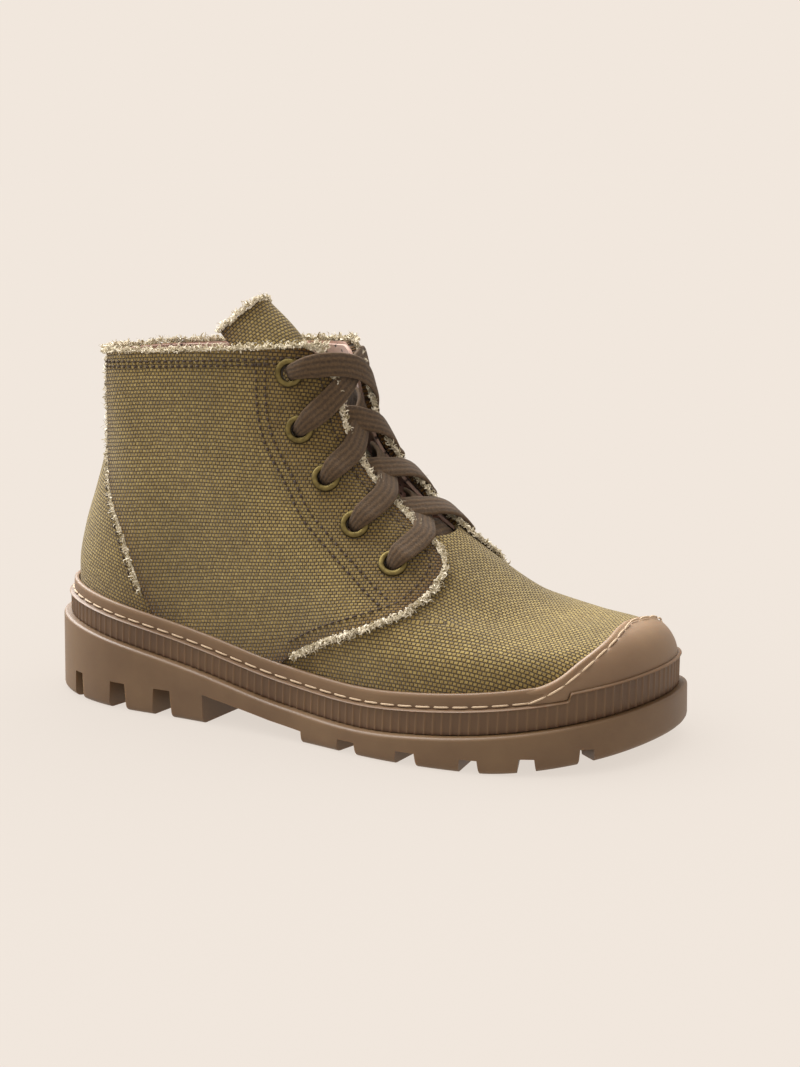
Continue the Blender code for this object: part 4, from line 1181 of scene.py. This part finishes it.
for rise, out in BAND_EDGE:
    rings.append(surface(theta, band * rise, np.full(count, face + out)))
    thin.append(np.full(count, 0.25))
    deep.append(np.full(count, 0.3))
band_top = band * BAND_EDGE[-1][0]
for share, out in LIP_FACE:
    height = band_top + (lip - band_top) * share
    rings.append(surface(theta, height, np.full(count, GAP + LIP + out) + 0.0005 * toe))
    thin.append(np.full(count, 0.05 + 0.35 * share**4))
    deep.append(np.full(count, 0.1 + 0.5 * (share < 0.1)))
rings.append(surface(theta, lip - 0.002, np.full(count, GAP)))
rings.append(on_ledge(theta, GAP, GAP))
thin += [np.full(count, 0.5)] * 2
deep += [np.zeros(count)] * 2
add_piece("foxing_band", np.stack(rings), tube_quads(len(rings), count, closed=True), [RUBBER_FINISH],
          "sidewall_rubber", ["sidewall"], thin=np.stack(thin), deep=np.stack(deep))


# Toe cap
# A smooth moulded cap of the same rubber over the toes, sewn on 4 mm inside its edge, where
# the rubber thins out to a lighter lip.
CAP_THICKNESS = 0.0019
CAP_EDGE = (
    # angle, level
    (0.0, 0.246),
    (8.0, 0.232),
    (16.9, 0.196),
    (26.9, 0.150),
    (33.8, 0.112),
    (37.0, 0.102),
    (43.0, 0.099),
)
CAP_END = 43.0
CAP_FADE = 35.0
CAP_STITCH = (
    (0.0, 0.222),
    (9.0, 0.204),
    (20.5, 0.156),
    (27.7, 0.116),
    (32.0, 0.094),
    (36.0, 0.078),
    (39.5, 0.067),
)
CAP_RIM = 0.0036
CAP_FOOT = 0.0035
CAP_ROUND = 0.0012
CAP_STEPS = (50, 260)
LIP_STITCH_LEVEL = 0.066

table = np.array(CAP_EDGE)
turn = np.linspace(-CAP_END, CAP_END, CAP_STEPS[1])
top = smooth(table[:, 0], table[:, 1], np.abs(turn))
beside = 1 / (1 + np.exp((TOE_STEP_ANGLE + 0.2 - np.abs(turn)) / TOE_STEP_FADE))
foot = (TOE_BAND_LEVEL + CAP_FOOT) * (1 - beside) + (BAND_LEVEL + CAP_FOOT) * beside
fade = np.clip((CAP_END - np.abs(turn)) / (CAP_END - CAP_FADE), 0, 1)
share = 1 - (1 - np.linspace(0, 1, CAP_STEPS[0]))**1.3
theta = np.radians(turn)[None, :] + 0 * share[:, None]
level = foot + (top - foot) * share[:, None]
edge = last_point(theta[:1], np.broadcast_to(top, (1, len(turn))))
reach = np.linalg.norm(last_point(theta, level) - edge, axis=2)
rounding = np.sqrt(np.clip(1 - np.clip(1 - reach / CAP_ROUND, 0, 1)**2, 0, 1))
thick = LIP - 0.0002 + (CAP_THICKNESS - LIP + 0.0002) * fade
groove = 0.0003 * np.exp(-((reach - CAP_RIM * 0.62) / 0.0006)**2)
outer = surface(theta, level, GAP + thick * (0.35 + 0.65 * rounding) - groove)
inner = surface(theta, level, np.full(theta.shape, GAP))
points, faces, kinds = slab(outer, inner)
thin = np.clip(1.15 - reach / CAP_RIM, 0, 1) * 0.8
CAP_FINISH = gum_rubber("gum_rubber_cap", "#6F563E", "#7D644A", "#80664A")
add_piece("toe_cap_shell", points, faces, [CAP_FINISH], "toe_cap_rubber", ["toe_cap"],
          thin=np.tile(thin.ravel(), 2))

PALE_THREAD = thread("pale_thread", "#9A8064", "#D4BFA2")
knots = [(-angle, row) for angle, row in CAP_STITCH[:0:-1]] + list(CAP_STITCH)
cap_row = on_last(knots, GAP + CAP_THICKNESS, 1)
rim = np.radians(np.linspace(CAP_STITCH[-1][0], 360 - CAP_STITCH[-1][0], 1400))
level = np.full(len(rim), LIP_STITCH_LEVEL)
lip_row = (surface(rim, level, np.full(len(rim), GAP + LIP)), normal_of(rim, level))
points, faces = stitches([cap_row, lip_row], pitch=0.0060, length=0.0055, thick=0.00060)
add_piece("rubber_stitches", points, faces, [PALE_THREAD], "sidewall_rubber")


# Insole
# A board covered with a soft brushed cloth, loose inside the shoe and seen only from above.
def sock_cloth():
    """Brushed sock lining: matt beige felt with a short nap."""
    mat, tree, shader = new_finish("sock_cloth")
    place = node(tree, "TexCoord", {}, {})
    nap = node(tree, "TexNoise", {}, {"Vector": place.outputs["Object"], "Scale": 600.0, "Detail": 5.0})
    colour = node(tree, "Mix", {"data_type": "RGBA"},
                  {0: nap.outputs[0], 6: linear("#A5877A"), 7: linear("#C4A798")})
    bump = node(tree, "Bump", {}, {"Strength": 0.5, "Distance": 0.0004, "Height": nap.outputs[0]})
    feed(tree, shader, {"Base Color": colour.outputs[2], "Normal": bump.outputs[0], "Roughness": 0.95})
    return mat


frame["nodes"]["insole"].material_slots[0].material = sock_cloth()


# Outsole
# One moulding of gum rubber: a ledge round the foot, a low heel, an arch and square lugs
# along the side. Its mould edges are slightly rounded.
SOLE_ROUND = 0.0020
LEDGE_ROUND = 0.0011
HEEL_FLARE = 0.0010
TOE_SPRING = 0.0065
ARCH_HEIGHT = 0.0094
HEEL_NOTCH_HEIGHT = 0.0088
TREAD_NOTCH_HEIGHT = 0.0041
NOTCH_DEPTH = 0.016
NOTCH_TAPER = 0.82
TREAD_GROOVE = 0.0018
TREAD_GROOVE_WIDTH = 0.0045
HEEL_NOTCHES = ((0.187, 0.0078), (0.270, 0.0080))
BACK_NOTCH_ANGLE = 34.0
BACK_NOTCH_WIDTH = 0.0060
TREAD_NOTCHES = ((0.609, 0.0078), (0.706, 0.0075), (0.796, 0.0064), (0.872, 0.0054), (0.939, 0.0050))
TREAD_GROOVES = (0.565, 0.657, 0.751, 0.834, 0.906)
HEEL_GROOVES = (0.120, 0.229, 0.312)
HEEL_BREAST = 0.346
ARCH_END = 0.530
TREAD_FLAT_END = 0.812
SOLE_STEPS = 360
MOULD_EDGE = 0.0005


def sole_bottom(x):
    """Height of the tread: flat up to its last third, then rising to the toe spring."""
    start = (TREAD_FLAT_END - 0.5) * SOLE_LENGTH
    rise = np.clip((np.asarray(x) - start) / (SOLE_LENGTH / 2 - start), 0, 1)
    return TOE_SPRING * rise**1.5


def sole_rings():
    """Rings of the moulding: quarter-round foot, side that flares at the heel, round ledge."""
    theta = np.arange(SOLE_STEPS) * 2 * pi / SOLE_STEPS
    wall = LEDGE + RUBBER + GAP
    breast = (HEEL_BREAST - 0.5) * SOLE_LENGTH
    flare = HEEL_FLARE * np.clip((breast - last_point(theta, 0.0)[:, 0]) / (breast + SOLE_LENGTH / 2), 0, 1)
    rings = []
    for bend in np.linspace(0, pi / 2, 5):
        flat = flat_loop(theta, wall - SOLE_ROUND * (1 - np.sin(bend)) + flare)
        rings.append(np.column_stack([flat, sole_bottom(flat[:, 0]) + SOLE_ROUND * (1 - np.cos(bend))]))
    low = rings[-1]
    high = on_ledge(theta, np.full(SOLE_STEPS, wall), -LEDGE_ROUND)
    for share in (0.25, 0.5, 0.75):
        rings.append(low + (high - low) * share)
    for bend in np.linspace(0, pi / 2, 6):
        rings.append(on_ledge(theta, np.full(SOLE_STEPS, wall - LEDGE_ROUND * (1 - np.cos(bend))),
                              -LEDGE_ROUND * (1 - np.sin(bend))))
    return np.stack(rings)


def block(centre, inward, width, depth, height, taper):
    """Corners and faces of a notch: narrower at its top, deep along inward."""
    inward = np.array((inward[0], inward[1], 0.0))
    across = np.array((-inward[1], inward[0], 0.0))
    corners = [np.array(centre) + inward * u + across * w + np.array((0, 0, z))
               for z, half in ((-height, width / 2 * (2 - taper)), (height, width / 2 * taper))
               for u, w in ((-depth, -half), (depth, -half), (depth, half), (-depth, half))]
    return corners, [(3, 2, 1, 0), (4, 5, 6, 7), (0, 1, 5, 4), (1, 2, 6, 5), (2, 3, 7, 6), (3, 0, 4, 7)]


def notch(theta, width, height):
    """Notch across the sole's edge at an angle round the feather edge."""
    inner = flat_loop(np.array([theta]), 0.0)[0]
    outer = flat_loop(np.array([theta]), LEDGE + RUBBER + GAP)[0]
    centre = (*outer, float(sole_bottom(outer[0])))
    return block(centre, unit(inner - outer), width, NOTCH_DEPTH, height, NOTCH_TAPER)


def carve(obj, blocks):
    """Cut blocks that don't touch out of a piece."""
    points = np.concatenate([b[0] for b in blocks]) + MIDDLE_LINE
    faces = [tuple(8 * i + k for k in face) for i, b in enumerate(blocks) for face in b[1]]
    mesh = bpy.data.meshes.new("cutter")
    mesh.from_pydata(points.tolist(), [], faces)
    cut_out(obj, mesh)


rings = sole_rings()
count, rear = SOLE_STEPS, SOLE_STEPS // 2
top = (len(rings) - 1) * count
half = np.arange(1, rear - 1)
strips = np.stack([half, half + 1, count - half - 1, count - half], axis=1)
strips = np.concatenate([strips[:, ::-1], strips + top])
tips = np.array([(count - 1, 1, 0), (rear - 1, rear + 1, rear)])
tips = np.concatenate([tips, tips[:, ::-1] + top])
sole = add_piece("rubber_outsole", rings, (tube_quads(len(rings), count), strips, tips), [RUBBER_FINISH],
                 "sole_rubber", ["outsole"])
breast, arch_end = ((share - 0.5) * SOLE_LENGTH for share in (HEEL_BREAST, ARCH_END))
third = (arch_end - breast) / 3
arch = [(breast, -0.01), (breast, ARCH_HEIGHT), (breast + third, ARCH_HEIGHT * 0.78),
        (breast + 2 * third, ARCH_HEIGHT * 0.55), (arch_end - 0.001, ARCH_HEIGHT * 0.40), (arch_end, -0.01)]
corners = [np.array((x, y, z)) for y in (-BALL_WIDTH, BALL_WIDTH) for x, z in arch]
sides = [((i + 1) % 6, (i + 1) % 6 + 6, i + 6, i) for i in range(6)]
carve(sole, [(corners, [tuple(range(5, -1, -1)), tuple(range(6, 12))] + sides)])
fine = np.linspace(0.02, pi - 0.02, 400)
blocks = [notch(pi + side * radians(BACK_NOTCH_ANGLE), BACK_NOTCH_WIDTH, HEEL_NOTCH_HEIGHT)
          for side in (-1, 1)]
for places, height in ((HEEL_NOTCHES, HEEL_NOTCH_HEIGHT), (TREAD_NOTCHES, TREAD_NOTCH_HEIGHT)):
    for station, width in places:
        for side in (1, -1):
            edge = flat_loop(side * fine, LEDGE + RUBBER + GAP)[:, 0]
            at = np.abs(edge - (station - 0.5) * SOLE_LENGTH).argmin()
            blocks.append(notch(side * fine[at], width, height))
carve(sole, blocks)
blocks = []
for station in HEEL_GROOVES + TREAD_GROOVES:
    x = (station - 0.5) * SOLE_LENGTH
    share = 1.0 if HEEL_BREAST < station < TREAD_FLAT_END else 0.8
    reach = (BALL_WIDTH / 2 - NOTCH_DEPTH - 2 * SOLE_ROUND) * share
    place = (x, 0.0, float(sole_bottom(x)))
    blocks.append(block(place, (0, 1), TREAD_GROOVE_WIDTH, reach, TREAD_GROOVE, NOTCH_TAPER))
carve(sole, blocks)
rounded = sole.modifiers.new("mould_edge", "BEVEL")
rounded.width = MOULD_EDGE
rounded.segments = 2
rounded.limit_method = "ANGLE"
rounded.angle_limit = radians(40)
rounded.harden_normals = True


# Floor, light and camera
# A seamless pale sheet, soft light from above the heel, and a long lens 17 cm over the
# floor, 30 degrees round from the outer side towards the toe.
WALL = "#F1E7DD"
BOOT_KEY = 8.4
BOOT_KEY_PLACE = (-0.60, 0.15, 0.79)
FLOOR_KEY = 1.0
FLOOR_KEY_PLACE = (-0.30, 0.0, 0.95)
FLOOR_GLOW = 0.78
CAMERA_PLACE = (0.3162, -0.5072, 0.1697)
CAMERA_TURN = 30.27
CAMERA_PITCH = 10.68
CAMERA_ROLL = -1.16
CAMERA_LENS = 65.38

world = bpy.data.worlds.new("studio")
bpy.context.scene.world = world
world.use_nodes = True
background = world.node_tree.nodes["Background"]
background.inputs["Color"].default_value = linear(WALL)
background.inputs["Strength"].default_value = 1.0

floor_mesh = bpy.data.meshes.new("floor")
floor_mesh.from_pydata([(-30, -30, 0), (30, -30, 0), (30, 30, 0), (-30, 30, 0)], [], [(0, 1, 2, 3)])
floor = bpy.data.objects.new("floor", floor_mesh)
boot_lit = bpy.data.collections.new("lit_by_boot_key")
floor_lit = bpy.data.collections.new("lit_by_floor_key")
for obj in bpy.context.scene.objects:
    if obj.type == "MESH":
        boot_lit.objects.link(obj)
bpy.context.scene.collection.objects.link(floor)
floor_lit.objects.link(floor)
for name, energy, spread, towards, lit in (("boot_key", BOOT_KEY, 60, BOOT_KEY_PLACE, boot_lit),
                                           ("floor_key", FLOOR_KEY, 120, FLOOR_KEY_PLACE, floor_lit)):
    lamp = bpy.data.lights.new(name, "SUN")
    lamp.energy = energy
    lamp.angle = radians(spread)
    key = bpy.data.objects.new(name, lamp)
    key.rotation_euler = Vector(towards).to_track_quat("Z", "Y").to_euler()
    key.light_linking.receiver_collection = lit
    bpy.context.scene.collection.objects.link(key)

mat, tree, shader = new_finish("paper_floor")
sky = np.array(linear(WALL)[:3])
fall = FLOOR_KEY / pi * FLOOR_KEY_PLACE[2]
feed(tree, shader, {"Base Color": (*(sky / (sky + fall) * (1 - FLOOR_GLOW)), 1.0),
                    "Emission Color": linear(WALL), "Emission Strength": FLOOR_GLOW,
                    "Roughness": 1.0, "Specular IOR Level": 0.0})
floor_mesh.materials.append(mat)

bpy.context.scene.view_settings.view_transform = "Standard"
lens = bpy.data.cameras.new("camera")
lens.lens = CAMERA_LENS
lens.sensor_fit = "VERTICAL"
lens.sensor_height = 36.0
camera = bpy.data.objects.new("camera", lens)
camera.matrix_world = (Matrix.Translation(CAMERA_PLACE) @ Matrix.Rotation(radians(CAMERA_TURN), 4, "Z")
                       @ Matrix.Rotation(radians(90 - CAMERA_PITCH), 4, "X")
                       @ Matrix.Rotation(radians(CAMERA_ROLL), 4, "Z"))
bpy.context.scene.collection.objects.link(camera)
bpy.context.scene.camera = camera
